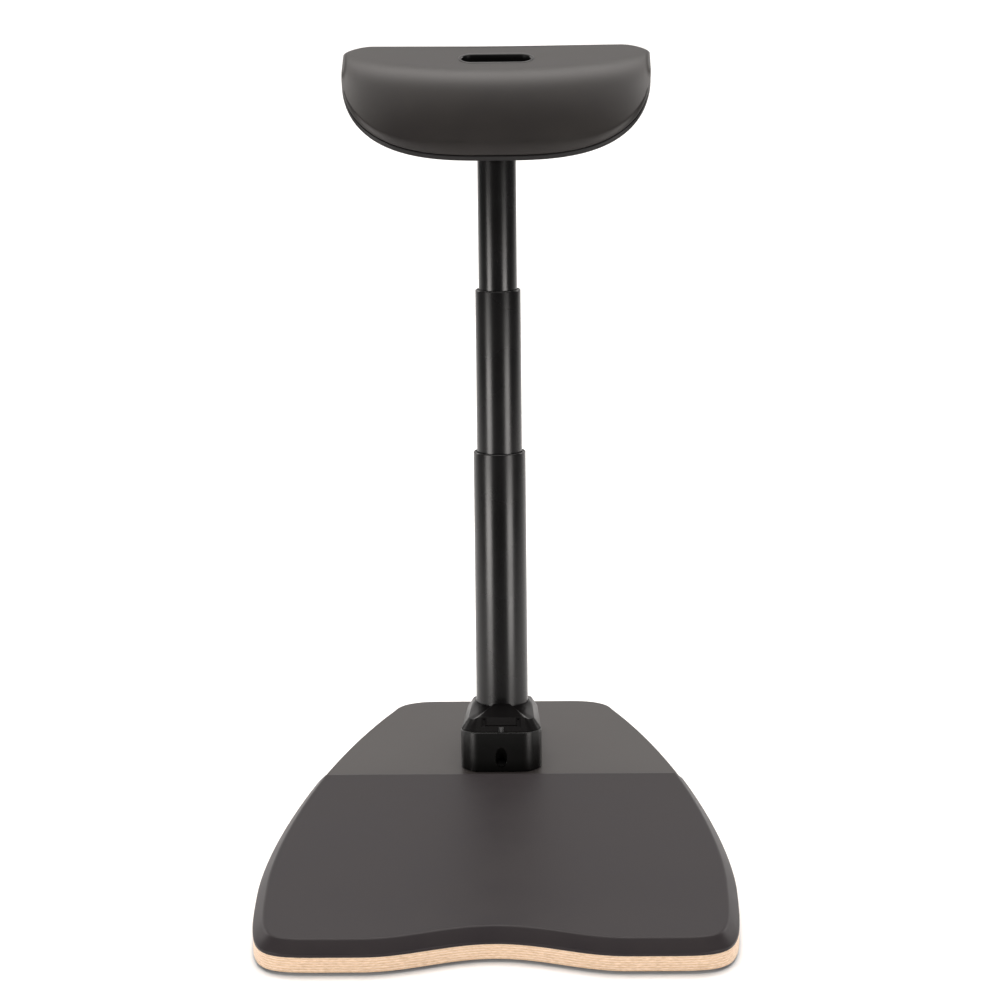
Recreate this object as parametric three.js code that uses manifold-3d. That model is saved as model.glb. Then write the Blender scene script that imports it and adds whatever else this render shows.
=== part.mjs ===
// A perch stool for a standing desk: a plywood platform with a cushioned mat, a foot block, a
// three-stage telescopic column that leans back, and a padded seat with a hand slot and a
// release paddle under it. Lengths are millimetres and angles are degrees. +Z is up, the user
// stands at -Y, and the column leans towards +Y.
import * as THREE from 'three';
import { mergeVertices } from 'three/addons/utils/BufferGeometryUtils.js';
import Module from 'manifold-3d';

const wasm = await Module();
wasm.setup();

// Fits
const seatGap = 0.3;          // between pieces that rest on or in each other
const slideGap = 0.3;         // between a sliding or turning piece and its guide
const cutOverrun = 5;         // how far a cutting tool runs past the face it cuts
const weldDistance = 0.0005;  // vertices nearer than this are one vertex

// Plywood platform, measured from the foot of the column
const footHeight = 3;
const boardThickness = 18;
const boardRear = 120;
const boardFront = 574.5;
const boardHalfWidth = 252.5;
const boardWidestSetback = 144.5;    // from the front edge back to the widest place
const boardRearFlatHalf = 80;
const boardShoulderHalf = 130.5;
const boardShoulderSetback = 30;     // from the rear edge to where the side begins
const boardFrontFlatEnd = 180;
const waveHalfWidth = 137;
const waveDepth = 30;

// Rubber feet under the platform
const footRadius = 18;
const footChamfer = 1;
const footInset = 42;

// Standing mat on the front of the platform
const matThickness = 15;
const matLip = 2.5;
const matBevel = 11.5;
const matRear = 125;                 // from the foot of the column forward to the mat's edge

// Column
const columnLean = 8;
const outerRadius = 30;
const middleRadius = 26;
const innerRadius = 22;
const tubeWall = 2;
const tubeFootLift = 10;             // lower end of the outer tube along the column
const outerTop = 342;
const middleShown = 187;             // middle tube standing out of the outer one
const innerShown = 159;              // inner tube standing out of the middle one
const guideLength = 30;
const guideRecess = 1;
const sliderLength = 39;
const rimChamfer = 0.8;

// Gas spring and what holds it
const rodRadius = 5;
const rodFoot = 11;
const rodGroove = 1;
const clipThickness = 1.2;
const clipReach = 4;
const basePlugHeight = 12;
const bumpHeight = 8;
const bumpRadius = 12;
const cylinderRadius = 14;
const cylinderWall = 2.3;
const cylinderEnd = 8;
const cylinderLength = 335;
const valveWell = 4;                 // depth of the well in the cylinder's end for the pin
const pistonHeight = 12;
const pistonClearance = 2;
const cylinderGuideHeight = 10;

// Top plug, swivel hub and release pin
const plugFlange = 4;
const plugDepth = 30;
const plugSocketShare = 0.27;        // of the plug's depth that takes the gas spring
const spigotRadius = 14;
const washerThickness = 1.7;
const hubRadius = 25;
const hubHeight = 14;
const spigotRise = 1;
const hubClipThickness = 1.2;
const pinRadius = 4;
const pinClearance = 1;

// Foot block, measured from the foot of the column
const blockFront = 95;
const blockRear = 55;
const blockFrontHalf = 46;
const blockRearHalf = 41;
const blockCorner = 13;
const blockFrontHeight = 46;
const pocketRadius = 6.7;
const pocketLean = 29;
const pocketMouth = 16;              // height of the pocket's axis in the front face
const pocketDepth = 12.5;
const toeHeadRadius = 4.6;
const toeHeadHeight = 3;
const toeShankRadius = 2.2;
const toeShankLength = 20;
const boltRadius = 4;
const boltHeadRadius = 8;
const boltHeadHeight = 4.4;
const boltReach = 14;                // how far a bolt goes up into the block
const boltHalfSpacing = 29;
const frontBoltForward = 68;
const rearBoltBack = 33;

// Collar cover on the block
const coverWall = 2;
const coverBend = 14.3;              // from the block's top up to the bend
const coverLedge = 6.5;              // of the block's top left bare in front of the cover
const coverFrontInset = 19.3;        // the bend inside the block's outline, at the front
const coverSideInset = 4.5;
const coverRearInset = 8;
const coverRim = 17.4;               // from the block's top up to the round rim
const coverRimHeight = 0.9;
const coverRimWidth = 1.6;
const tabHalfWidth = 19.5;
const tabGroove = 4.4;
const tabBottomGroove = 1.2;
const tabDepth = 1;
const tabTopShare = 0.1;             // of the front facet, from the bend down
const tabBottomShare = 0.58;
const clipHalfWidth = 2.9;
const clipProud = 1.4;
const clipGroove = 1.2;
const clipTopShare = 0.66;

// Seat, in its own frame: the origin is where the column's axis meets the shell's underside
const seatSlope = 8;                 // of the seat's rear part, down towards the front
const seatRise = 24.4;               // along the column, from the hub's top to the underside
const shellThickness = 9;
const padGap = 0.8;
const padThickness = 34.2;           // where the top is flat
const seatHalfWidth = 175.5;
const seatBack = 95;                 // from the column's axis back to the rear edge
const seatCornerAcross = 30;         // of the rear corners
const seatCornerAlong = 16;
const flatMiddle = 76;               // length of the flat part on the middle line
const lineMiddle = 182;              // from the rear edge over the top to the front edge
const lineSide = 56;                 // the same at the sides
const crestLength = 28;              // of the quick bend where the flat part ends
const turnMiddle = 70;               // what a line turns from the flat part to the front edge
const turnSide = 8;
const crestShare = 0.4;              // of the turn, made over the crest
const frontFullness = 2.44;          // exponent of the front edge's superellipse
const padEdgeRadius = 6;
const padRim = 8;                    // height of the pad's wall at its edge
const padSeam = 1.2;                 // chamfer under the pad's edge
const shellInset = 1;
const shellRim = 5.5;                // thickness of the shell at its edge
const shellEdgeRadius = 1.2;
const dishMiddle = 14;               // middle of the shell's flat part, back from the axis
const dishShare = 0.56;              // of the way out, where the shell's flat part ends

// Hand slot and its liner
const slotHalfLength = 39.5;
const slotHalfWidth = 16;
const slotFromRear = 46.4;
const linerWall = 2.5;
const linerLipWidth = 2.5;
const linerLipHeight = 1.4;

// Bracket under the shell
const bracketPlate = 3;
const bracketHalf = 22;
const bracketFlange = 24;
const bracketFront = 27;
const bracketRear = 31;
const cheekFront = 3;
const screwInset = 8;
const screwRadius = 2.4;
const screwHeadRadius = 4.6;
const screwHeadHeight = 2.6;
const screwReach = 6;

// Release paddle
const leverThickness = 3;
const leverDrop = 10;                // from the shell's underside to the lever's middle
const paddleDrop = 15;               // the same at the paddle
const leverPivot = 19.5;             // from the column's axis back to the hinge pin
const leverHalfWidth = 11;
const leverNose = 5;
const hingePinRadius = 2.5;
const hingeBoss = 5.5;
const hingePinHead = 4;
const hingePinHeadHeight = 2;
const paddleHalfWidth = 32;
const paddleLength = 26;
const paddleCorner = 8;
const sleeveWall = 1.6;
const sleeveSetback = 3;

// Facets
const tubeSides = 36;
const smallSides = 20;
const curveSteps = 14;
const cornerSteps = 4;

// Sizes worked out from those above
const lean = THREE.MathUtils.degToRad(columnLean);
const slope = THREE.MathUtils.degToRad(seatSlope);
const boardTop = footHeight + boardThickness;
const middleTop = outerTop + middleShown;
const innerTop = middleTop + innerShown;
const guideFootOuter = outerTop - guideRecess - guideLength;
const guideFootMiddle = middleTop - guideRecess - guideLength;
const middleFoot = guideFootOuter - slideGap - sliderLength;
const innerFoot = guideFootMiddle - slideGap - sliderLength;
const cylinderTop = innerTop - plugDepth * plugSocketShare;
const cylinderFoot = cylinderTop - cylinderLength;
const hubFoot = innerTop + plugFlange + washerThickness + slideGap * 2;
const hubTop = hubFoot + hubHeight;
const bracketFloorTop = hubTop + bracketPlate;
const seatLift = hubTop + seatRise;
const spigotTop = bracketFloorTop + hubClipThickness + slideGap + spigotRise;
const partingPlane = blockFrontHeight * Math.cos(lean) - blockFront * Math.sin(lean);

// Materials
const finish = (color, roughness, metalness) =>
  new THREE.MeshStandardMaterial({ color, roughness, metalness });
const birch = finish(0xdcb48c, 0.6, 0);
const matFoam = finish(0x45413f, 0.75, 0);
const rubber = finish(0x1c1c1c, 0.9, 0);
const castBlack = finish(0x141414, 0.3, 0.1);
const coverBlack = finish(0x1a1a1a, 0.25, 0);
const tubeBlack = finish(0x1b1a1a, 0.35, 0.4);
const guidePlastic = finish(0x111111, 0.6, 0);
const steel = finish(0xa9abad, 0.35, 0.9);
const darkSteel = finish(0x2c2c2e, 0.45, 0.8);
const padCover = finish(0x2b2a29, 0.5, 0);
const shellPlastic = finish(0x1f1e1e, 0.5, 0);
const linerPlastic = finish(0x1d1d1d, 0.4, 0);

// A closed three.js geometry becomes a solid: its vertices are merged, collapsed triangles are
// dropped, and its faces are turned outwards if its signed volume is negative.
function solid(geometry) {
  const bare = geometry.clone();
  bare.deleteAttribute('normal');
  bare.deleteAttribute('uv');
  const merged = mergeVertices(bare, weldDistance);
  const places = merged.attributes.position.array;
  const corners = [];
  let volume = 0;
  for (let i = 0; i < merged.index.count; i += 3) {
    const [a, b, c] = merged.index.array.slice(i, i + 3);
    if (a === b || b === c || c === a) continue;
    corners.push(a, b, c);
    const [p, q, r] = [a, b, c].map((k) => new THREE.Vector3().fromArray(places, k * 3));
    volume += p.dot(q.cross(r));
  }
  if (volume < 0) corners.reverse();
  return new wasm.Manifold(new wasm.Mesh({
    numProp: 3,
    vertProperties: new Float32Array(places),
    triVerts: new Uint32Array(corners),
  }));
}

// A solid becomes a named mesh in a group.
function addPiece(group, name, body, material) {
  const data = body.getMesh();
  const geometry = new THREE.BufferGeometry();
  geometry.setAttribute('position', new THREE.BufferAttribute(data.vertProperties, 3));
  geometry.setIndex(new THREE.BufferAttribute(data.triVerts, 1));
  geometry.computeVertexNormals();
  const mesh = new THREE.Mesh(geometry, material);
  mesh.name = name;
  group.add(mesh);
}

// A closed profile of [radius, height] points turned about the Z axis.
function turned(profile, sides) {
  const points = [...profile, profile[0]].map(([radius, height]) => new THREE.Vector2(radius, height));
  return new THREE.LatheGeometry(points, sides).rotateX(Math.PI / 2);
}

// A plain ring or disc between two heights; a bore of zero gives a disc.
function ring(bore, radius, low, high, sides) {
  return solid(turned([[bore, low], [radius, low], [radius, high], [bore, high]], sides));
}

// A flat outline raised from one height to another.
function raised(outline, low, high) {
  const shape = new THREE.Shape(outline);
  const geometry = new THREE.ExtrudeGeometry(shape, { depth: high - low, bevelEnabled: false });
  return geometry.translate(0, 0, low);
}

// An outline in the YZ plane widened along X, from -half to +half.
function widened(outline, half) {
  const shape = new THREE.Shape(outline.map(([y, z]) => new THREE.Vector2(y, z)));
  const geometry = new THREE.ExtrudeGeometry(shape, { depth: half * 2, bevelEnabled: false });
  const turn = new THREE.Matrix4().makeBasis(
    new THREE.Vector3(0, 1, 0), new THREE.Vector3(0, 0, 1), new THREE.Vector3(1, 0, 0));
  return geometry.applyMatrix4(turn).translate(-half, 0, 0);
}

// Closed rings of points joined one to the next. The ends are closed by flat lids whose
// triangles come from the first ring's outline, or the last ring joins the first.
function lofted(rings, joinEnds) {
  const count = rings[0].length;
  const places = rings.flat().flatMap((point) => point.toArray());
  const corners = [];
  const spans = joinEnds ? rings.length : rings.length - 1;
  for (let i = 0; i < spans; i += 1) {
    const low = i * count;
    const high = ((i + 1) % rings.length) * count;
    for (let k = 0; k < count; k += 1) {
      const next = (k + 1) % count;
      corners.push(low + k, low + next, high + next, low + k, high + next, high + k);
    }
  }
  if (!joinEnds) {
    [rings[0], rings[rings.length - 1]].forEach((lid, end) => {
      const flat = lid.map((point) => new THREE.Vector2(point.x, point.y));
      const start = end * (rings.length - 1) * count;
      const clockwise = THREE.ShapeUtils.isClockWise(flat);
      THREE.ShapeUtils.triangulateShape(flat, []).forEach(([a, b, c]) => {
        const turnedOver = (end === 0) !== clockwise;
        if (turnedOver) corners.push(start + a, start + c, start + b);
        else corners.push(start + a, start + b, start + c);
      });
    });
  }
  const geometry = new THREE.BufferGeometry();
  geometry.setAttribute('position', new THREE.Float32BufferAttribute(places, 3));
  geometry.setIndex(corners);
  return geometry;
}

// Points of a cubic curve through two ends with two handles, without its last point.
function curvePoints(ends, steps) {
  const vectors = ends.map(([x, y]) => new THREE.Vector2(x, y));
  return new THREE.CubicBezierCurve(...vectors).getPoints(steps).slice(0, steps);
}

// Half of the platform's outline, from the middle of the rear edge round the right side to the
// middle of the front edge. Each stretch is one cubic curve; handles are shares of its span.
function boardHalfOutline() {
  const sideSlope = 0.48;            // the side's lean where it leaves the rear corner
  const cornerHandleShare = 0.87;
  const rearHandleShare = 0.2;
  const sideHandleShare = 0.29;
  const sideEndShare = 0.25;
  const shoulder = boardRear - boardShoulderSetback;
  const widest = boardWidestSetback - boardFront;
  const sideSpan = shoulder - widest;
  const cornerSpan = boardShoulderHalf - boardRearFlatHalf;
  const rearDrop = boardShoulderSetback * rearHandleShare;
  const frontSpan = boardHalfWidth - boardFrontFlatEnd;
  const frontDropShare = 0.94;
  const frontHandleShare = 0.94;
  const waveHandleShare = 0.364;
  const wave = waveHalfWidth * waveHandleShare;
  return [
    ...curvePoints([
      [boardRearFlatHalf, boardRear],
      [boardRearFlatHalf + cornerSpan * cornerHandleShare, boardRear],
      [boardShoulderHalf - rearDrop * sideSlope, shoulder + rearDrop],
      [boardShoulderHalf, shoulder]], cornerSteps * 2),
    ...curvePoints([
      [boardShoulderHalf, shoulder],
      [boardShoulderHalf + sideSpan * sideHandleShare * sideSlope, shoulder - sideSpan * sideHandleShare],
      [boardHalfWidth, widest + sideSpan * sideEndShare],
      [boardHalfWidth, widest]], curveSteps),
    ...curvePoints([
      [boardHalfWidth, widest],
      [boardHalfWidth, widest - boardWidestSetback * frontDropShare],
      [boardFrontFlatEnd + frontSpan * frontHandleShare, -boardFront],
      [boardFrontFlatEnd, -boardFront]], curveSteps),
    ...curvePoints([
      [waveHalfWidth, -boardFront],
      [waveHalfWidth - wave, -boardFront],
      [wave, waveDepth - boardFront],
      [0, waveDepth - boardFront]], curveSteps),
    new THREE.Vector2(0, waveDepth - boardFront),
  ];
}

// The whole outline, clockwise seen from above, from a half that starts and ends on the middle.
function mirrored(half) {
  const left = half.filter((point) => point.x > 0).reverse();
  return [...half, ...left.map((point) => new THREE.Vector2(-point.x, point.y))];
}

// An open line moved sideways along its own normals, towards the platform's middle.
function inward(line, distance) {
  return line.map((point, i) => {
    const before = line[Math.max(i - 1, 0)];
    const after = line[Math.min(i + 1, line.length - 1)];
    const along = after.clone().sub(before).normalize();
    return new THREE.Vector2(point.x + along.y * distance, point.y - along.x * distance);
  });
}

// The mat's outline: the platform's own outline in front of the mat's rear edge, all of it
// moved inward by the same distance.
function matOutline(distance) {
  const rearEdge = -matRear - distance;
  const line = inward(boardHalfOutline(), distance);
  const last = line.length - 1;
  line[last] = new THREE.Vector2(0, line[last].y);
  const cut = line.findIndex((point) => point.y < rearEdge);
  const [before, after] = [line[cut - 1], line[cut]];
  const share = (before.y - rearEdge) / (before.y - after.y);
  const corner = before.clone().lerp(after, share);
  return mirrored([corner, ...line.slice(cut)]);
}

// A rectangle with round corners whose sides may taper, in order round the outline. The same
// number of points stands on each side and corner, so outlines of several sizes can be joined.
function taperedOutline(front, rear, frontHalf, rearHalf, corner) {
  const sideSteps = 6;
  const half = [];
  for (let i = 0; i <= sideSteps / 2; i += 1) {
    half.push([(frontHalf - corner) * (2 * i / sideSteps), -front]);
  }
  for (let i = 1; i <= cornerSteps; i += 1) {
    const angle = (Math.PI / 2) * (i / cornerSteps);
    half.push([frontHalf - corner * (1 - Math.sin(angle)), -front + corner * (1 - Math.cos(angle))]);
  }
  for (let i = 1; i <= sideSteps; i += 1) {
    const share = i / sideSteps;
    const x = frontHalf + (rearHalf - frontHalf) * share;
    half.push([x, -front + corner + (front + rear - corner * 2) * share]);
  }
  for (let i = 1; i <= cornerSteps; i += 1) {
    const angle = (Math.PI / 2) * (i / cornerSteps);
    half.push([rearHalf - corner * (1 - Math.cos(angle)), rear - corner * (1 - Math.sin(angle))]);
  }
  for (let i = 1; i <= sideSteps / 2; i += 1) {
    half.push([(rearHalf - corner) * (1 - 2 * i / sideSteps), rear]);
  }
  return mirrored(half.map(([x, y]) => new THREE.Vector2(Math.max(x, 0), y)));
}

// The frame of the column, standing on the platform and leaning back.
const columnFrame = new THREE.Matrix4().makeRotationX(-lean).setPosition(0, 0, boardTop);

// The seat's frame, given in the column's frame.
const seatFrame = new THREE.Matrix4().makeRotationX(lean + slope).setPosition(0, 0, seatLift);

// A tube with a small chamfer on its upper rim.
function tubeBody(radius, low, high) {
  const bore = radius - tubeWall;
  return solid(turned([
    [bore, low], [radius, low], [radius, high - rimChamfer],
    [radius - rimChamfer, high], [bore, high]], tubeSides));
}

// Where the four bolts stand that hold the block to the platform.
const boltPlaces = [
  [-boltHalfSpacing, -frontBoltForward], [boltHalfSpacing, -frontBoltForward],
  [-boltHalfSpacing, rearBoltBack], [boltHalfSpacing, rearBoltBack]];

// A countersunk bolt from the platform's underside up into the block; the same profile with a
// clearance cuts its hole.
function boltBody(x, y, clearance) {
  const shank = boltRadius + clearance;
  const head = boltHeadRadius + clearance;
  const under = clearance > 0 ? footHeight - cutOverrun : footHeight + seatGap;
  const top = boardTop + boltReach + clearance;
  const countersink = footHeight + seatGap + boltHeadHeight;
  return solid(turned([
    [0, under], [head, under], [head, footHeight + seatGap], [shank, countersink],
    [shank, top], [0, top]], smallSides).translate(x, y, 0));
}

// The toe screw lies in a pocket that slants down and back from the block's front face.
const pocketFrame = new THREE.Matrix4()
  .makeRotationX(THREE.MathUtils.degToRad(pocketLean))
  .setPosition(0, -blockFront, boardTop + pocketMouth);

function toeScrewBody(clearance) {
  const shank = toeShankRadius + clearance;
  const head = toeHeadRadius + clearance;
  const seatLevel = -pocketDepth;
  const tip = seatLevel - toeShankLength;
  const low = seatLevel + (clearance > 0 ? 0 : seatGap);
  return solid(turned([
    [0, tip], [shank / 2, tip], [shank, tip + toeShankRadius * 2], [shank, low],
    [head, low], [head, low + toeHeadHeight], [0, low + toeHeadHeight]],
  smallSides).applyMatrix4(pocketFrame));
}

function addPlatform(group) {
  const outline = mirrored(boardHalfOutline());
  let plywood = solid(raised(outline, footHeight, boardTop));
  boltPlaces.forEach(([x, y]) => {
    plywood = plywood.subtract(boltBody(x, y, seatGap));
  });
  plywood = plywood.subtract(toeScrewBody(seatGap));
  addPiece(group, 'plywood_board', plywood, birch);

  const place = (outlinePoints, z) => outlinePoints.map((p) => new THREE.Vector3(p.x, p.y, z));
  const mat = lofted([
    place(matOutline(0), boardTop),
    place(matOutline(0), boardTop + matLip),
    place(matOutline(matBevel), boardTop + matThickness)], false);
  addPiece(group, 'foot_mat', solid(mat), matFoam);

  const rowShares = [0.87, 0.36, -0.13];   // of the way from the column forward to the front edge
  const footPlaces = rowShares.map((share) => {
    const y = -boardFront * share;
    return [boardHalfOutline().find((point) => point.y < y).x - footInset, y];
  });
  const foot = [
    [0, 0], [footRadius - footChamfer, 0], [footRadius, footChamfer],
    [footRadius, footHeight], [0, footHeight]];
  footPlaces.forEach(([x, y], row) => {
    [-1, 1].forEach((side, column) => {
      const name = `rubber_foot_${row * 2 + column + 1}`;
      addPiece(group, name, solid(turned(foot, smallSides).translate(x * side, y, 0)), rubber);
    });
  });
}

function addFootBlock(group) {
  const outline = taperedOutline(blockFront, blockRear, blockFrontHalf, blockRearHalf, blockCorner);
  const reach = blockFront + blockRear;
  let block = solid(raised(outline, boardTop, boardTop + blockFrontHeight + cutOverrun));
  const above = new THREE.BoxGeometry(reach * 2, reach * 2, reach)
    .translate(0, 0, partingPlane + reach / 2).applyMatrix4(columnFrame);
  block = block.subtract(solid(above));
  const bore = turned([
    [0, tubeFootLift - seatGap], [outerRadius + seatGap, tubeFootLift - seatGap],
    [outerRadius + seatGap, reach], [0, reach]], tubeSides).applyMatrix4(columnFrame);
  block = block.subtract(solid(bore));
  const pocket = turned([
    [0, -pocketDepth], [pocketRadius, -pocketDepth], [pocketRadius, blockFront], [0, blockFront]],
  smallSides).applyMatrix4(pocketFrame);
  block = block.subtract(solid(pocket)).subtract(toeScrewBody(seatGap));
  boltPlaces.forEach(([x, y]) => {
    block = block.subtract(boltBody(x, y, seatGap));
  });
  addPiece(group, 'foot_block', block, castBlack);
  addPiece(group, 'toe_screw', toeScrewBody(0), darkSteel);
  boltPlaces.forEach(([x, y], i) => {
    addPiece(group, `block_bolt_${i + 1}`, boltBody(x, y, 0), steel);
  });
}

// The block's outline where the parting plane cuts it, in the column's frame.
function partingOutline(front, side, rear) {
  const outline = taperedOutline(
    blockFront - front, blockRear - rear, blockFrontHalf - side, blockRearHalf - side, blockCorner);
  return outline.map((p) => new THREE.Vector2(
    p.x, (p.y - partingPlane * Math.sin(lean)) / Math.cos(lean)));
}

// A circle with a point for each point of the parting outline: the front facet takes the arc
// that faces forward, the corners take short arcs, and the sides take the rest.
function rimCircle(radius) {
  const outline = partingOutline(coverFrontInset, coverSideInset, coverRearInset);
  const frontArcShare = 0.28;
  return outline.map((point) => {
    const forward = Math.atan2(point.x, -point.y);
    const pulled = forward - frontArcShare * Math.sin(forward * 2) * Math.cos(forward / 2);
    return new THREE.Vector2(radius * Math.sin(pulled), -radius * Math.cos(pulled));
  });
}

function addCollar(group) {
  const low = partingPlane + seatGap;
  const bend = partingPlane + coverBend;
  const rim = partingPlane + coverRim;
  const rimTop = rim + coverRimHeight;
  const bore = outerRadius + seatGap;
  const place = (points, z) => points.map((p) => new THREE.Vector3(p.x, p.y, z));
  const rows = [0, coverWall].map((wall) => ({
    foot: partingOutline(coverLedge + wall, wall, wall),
    bend: partingOutline(coverFrontInset + wall, coverSideInset + wall, coverRearInset + wall),
    rim: rimCircle(bore + coverRimWidth - wall * 2),
  }));
  const [outside, inside] = rows;
  const cover = solid(lofted([
    place(outside.foot, low), place(outside.bend, bend), place(outside.rim, rim),
    place(outside.rim, rimTop), place(inside.rim, rimTop), place(inside.rim, rim - coverWall),
    place(inside.bend, bend - coverWall), place(inside.foot, low)], true))
    .subtract(ring(0, bore, low - cutOverrun, rimTop + cutOverrun, tubeSides));

  // The front facet's own frame: the origin is its lower edge, Y runs up it and Z leaves it.
  const front = (p) => (p - partingPlane * Math.sin(lean)) / Math.cos(lean);
  const foot = new THREE.Vector3(0, front(coverLedge - blockFront), low);
  const head = new THREE.Vector3(0, front(coverFrontInset - blockFront), bend);
  const facetLength = head.distanceTo(foot);
  const up = head.clone().sub(foot).normalize();
  const across = new THREE.Vector3(1, 0, 0);
  const facet = new THREE.Matrix4().makeBasis(across, up, across.clone().cross(up)).setPosition(foot);
  const tabTop = facetLength * (1 - tabTopShare);
  const tabBottom = facetLength * (1 - tabBottomShare);
  const cutters = [-1, 1].map((side) => new THREE.BoxGeometry(
    tabGroove, tabTop - tabBottom, tabDepth * 2)
    .translate(side * tabHalfWidth, (tabTop + tabBottom) / 2, 0));
  cutters.push(new THREE.BoxGeometry(tabHalfWidth * 2, tabBottomGroove, tabDepth * 2)
    .translate(0, tabBottom + tabBottomGroove / 2, 0));
  const tool = cutters.map((box) => solid(box.applyMatrix4(facet))).reduce((a, b) => a.add(b));
  addPiece(group, 'collar_cover', cover.subtract(tool), coverBlack);

  // The clip lies on the facet and bends forward over the ledge to the block's front face.
  const slant = Math.atan2(up.y, up.z);
  const top = facetLength * (1 - clipTopShare);
  const base = foot.y - seatGap;
  const reach = front(-blockFront) - seatGap * 2;
  const upper = [base + Math.sin(slant) * top, low + Math.cos(slant) * top];
  const profile = [
    [reach, low], [base, low], upper, [upper[0] - clipProud, upper[1]],
    [base - clipProud, low + clipProud], [reach, low + clipProud]];
  const groove = widened(profile, clipGroove / 2).translate(0, -clipProud / 2, clipProud / 2);
  addPiece(group, 'collar_clip', solid(widened(profile, clipHalfWidth)).subtract(solid(groove)),
    darkSteel);
}

function addColumn(group) {
  const guideBore = (radius) => radius + slideGap;
  const guideOuter = (radius) => radius - tubeWall - slideGap;
  addPiece(group, 'outer_tube', tubeBody(outerRadius, tubeFootLift, outerTop), tubeBlack);
  addPiece(group, 'outer_guide_ring', ring(
    guideBore(middleRadius), guideOuter(outerRadius), guideFootOuter, outerTop - guideRecess,
    tubeSides), guidePlastic);
  addPiece(group, 'middle_tube', tubeBody(middleRadius, middleFoot, middleTop), tubeBlack);
  addPiece(group, 'middle_slider', ring(
    guideBore(middleRadius), guideOuter(outerRadius), middleFoot, middleFoot + sliderLength,
    tubeSides), guidePlastic);
  addPiece(group, 'middle_guide_ring', ring(
    guideBore(innerRadius), guideOuter(middleRadius), guideFootMiddle, middleTop - guideRecess,
    tubeSides), guidePlastic);
  addPiece(group, 'inner_tube', tubeBody(innerRadius, innerFoot, innerTop), tubeBlack);
  addPiece(group, 'inner_slider', ring(
    guideBore(innerRadius), guideOuter(middleRadius), innerFoot, innerFoot + sliderLength,
    tubeSides), guidePlastic);
  addPiece(group, 'cylinder_guide', ring(
    cylinderRadius + slideGap, innerRadius - tubeWall - slideGap, innerFoot + guideRecess,
    innerFoot + guideRecess + cylinderGuideHeight, smallSides), guidePlastic);
}

function addGasSpring(group) {
  const clipFoot = rodFoot + clipThickness;
  const clipTop = clipFoot + clipThickness;
  const plugFoot = clipTop + seatGap;
  const plugTop = plugFoot + basePlugHeight;
  const rodBore = rodRadius + seatGap;
  addPiece(group, 'tube_base_plug', ring(
    rodBore, outerRadius - tubeWall - seatGap, plugFoot, plugTop, smallSides), steel);
  addPiece(group, 'rod_clip', ring(
    rodRadius - rodGroove + seatGap, rodRadius + clipReach, clipFoot, clipTop, smallSides), steel);
  addPiece(group, 'bump_stop', ring(
    rodBore, bumpRadius, plugTop + seatGap, plugTop + seatGap + bumpHeight, smallSides), rubber);

  const boreRadius = cylinderRadius - cylinderWall;
  const pistonFoot = cylinderFoot + cylinderEnd + pistonClearance;
  const groove = rodRadius - rodGroove;
  const well = pinRadius + pinClearance;
  addPiece(group, 'piston_rod', solid(turned([
    [0, rodFoot], [rodRadius, rodFoot], [rodRadius, clipFoot - seatGap],
    [groove, clipFoot - seatGap], [groove, clipTop + seatGap], [rodRadius, clipTop + seatGap],
    [rodRadius, pistonFoot], [boreRadius - slideGap, pistonFoot],
    [boreRadius - slideGap, pistonFoot + pistonHeight], [0, pistonFoot + pistonHeight]],
  smallSides)), steel);
  addPiece(group, 'gas_cylinder', solid(turned([
    [0, cylinderTop - valveWell], [0, cylinderTop - cylinderEnd],
    [boreRadius, cylinderTop - cylinderEnd], [boreRadius, cylinderFoot + cylinderEnd],
    [rodRadius + slideGap, cylinderFoot + cylinderEnd], [rodRadius + slideGap, cylinderFoot],
    [cylinderRadius, cylinderFoot], [cylinderRadius, cylinderTop], [well, cylinderTop],
    [well, cylinderTop - valveWell]], smallSides)), darkSteel);
}

// Where the lever's underside crosses the column's axis.
function leverUnderside() {
  const drop = leverDrop + leverThickness / 2;
  return seatLift - drop / Math.cos(lean + slope);
}

function addSwivel(group) {
  const pinBore = pinRadius + pinClearance;
  const socket = cylinderRadius + seatGap;
  const socketTop = cylinderTop + seatGap;
  const plugRadius = innerRadius - tubeWall - seatGap;
  const plugSeat = innerTop + seatGap;
  const flangeTop = innerTop + plugFlange;
  addPiece(group, 'top_plug', solid(turned([
    [socket, innerTop - plugDepth], [plugRadius, innerTop - plugDepth], [plugRadius, plugSeat],
    [innerRadius, plugSeat], [innerRadius, flangeTop], [spigotRadius, flangeTop],
    [spigotRadius, spigotTop], [pinBore, spigotTop], [pinBore, socketTop], [socket, socketTop]],
  tubeSides)), steel);
  addPiece(group, 'thrust_washer', ring(
    spigotRadius + slideGap, innerRadius, flangeTop + slideGap, flangeTop + slideGap + washerThickness,
    tubeSides), guidePlastic);
  const tilt = Math.tan(lean + slope) * pinRadius;
  addPiece(group, 'release_pin', ring(
    0, pinRadius, cylinderTop + seatGap, leverUnderside() - tilt - seatGap, smallSides), steel);
}

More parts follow.
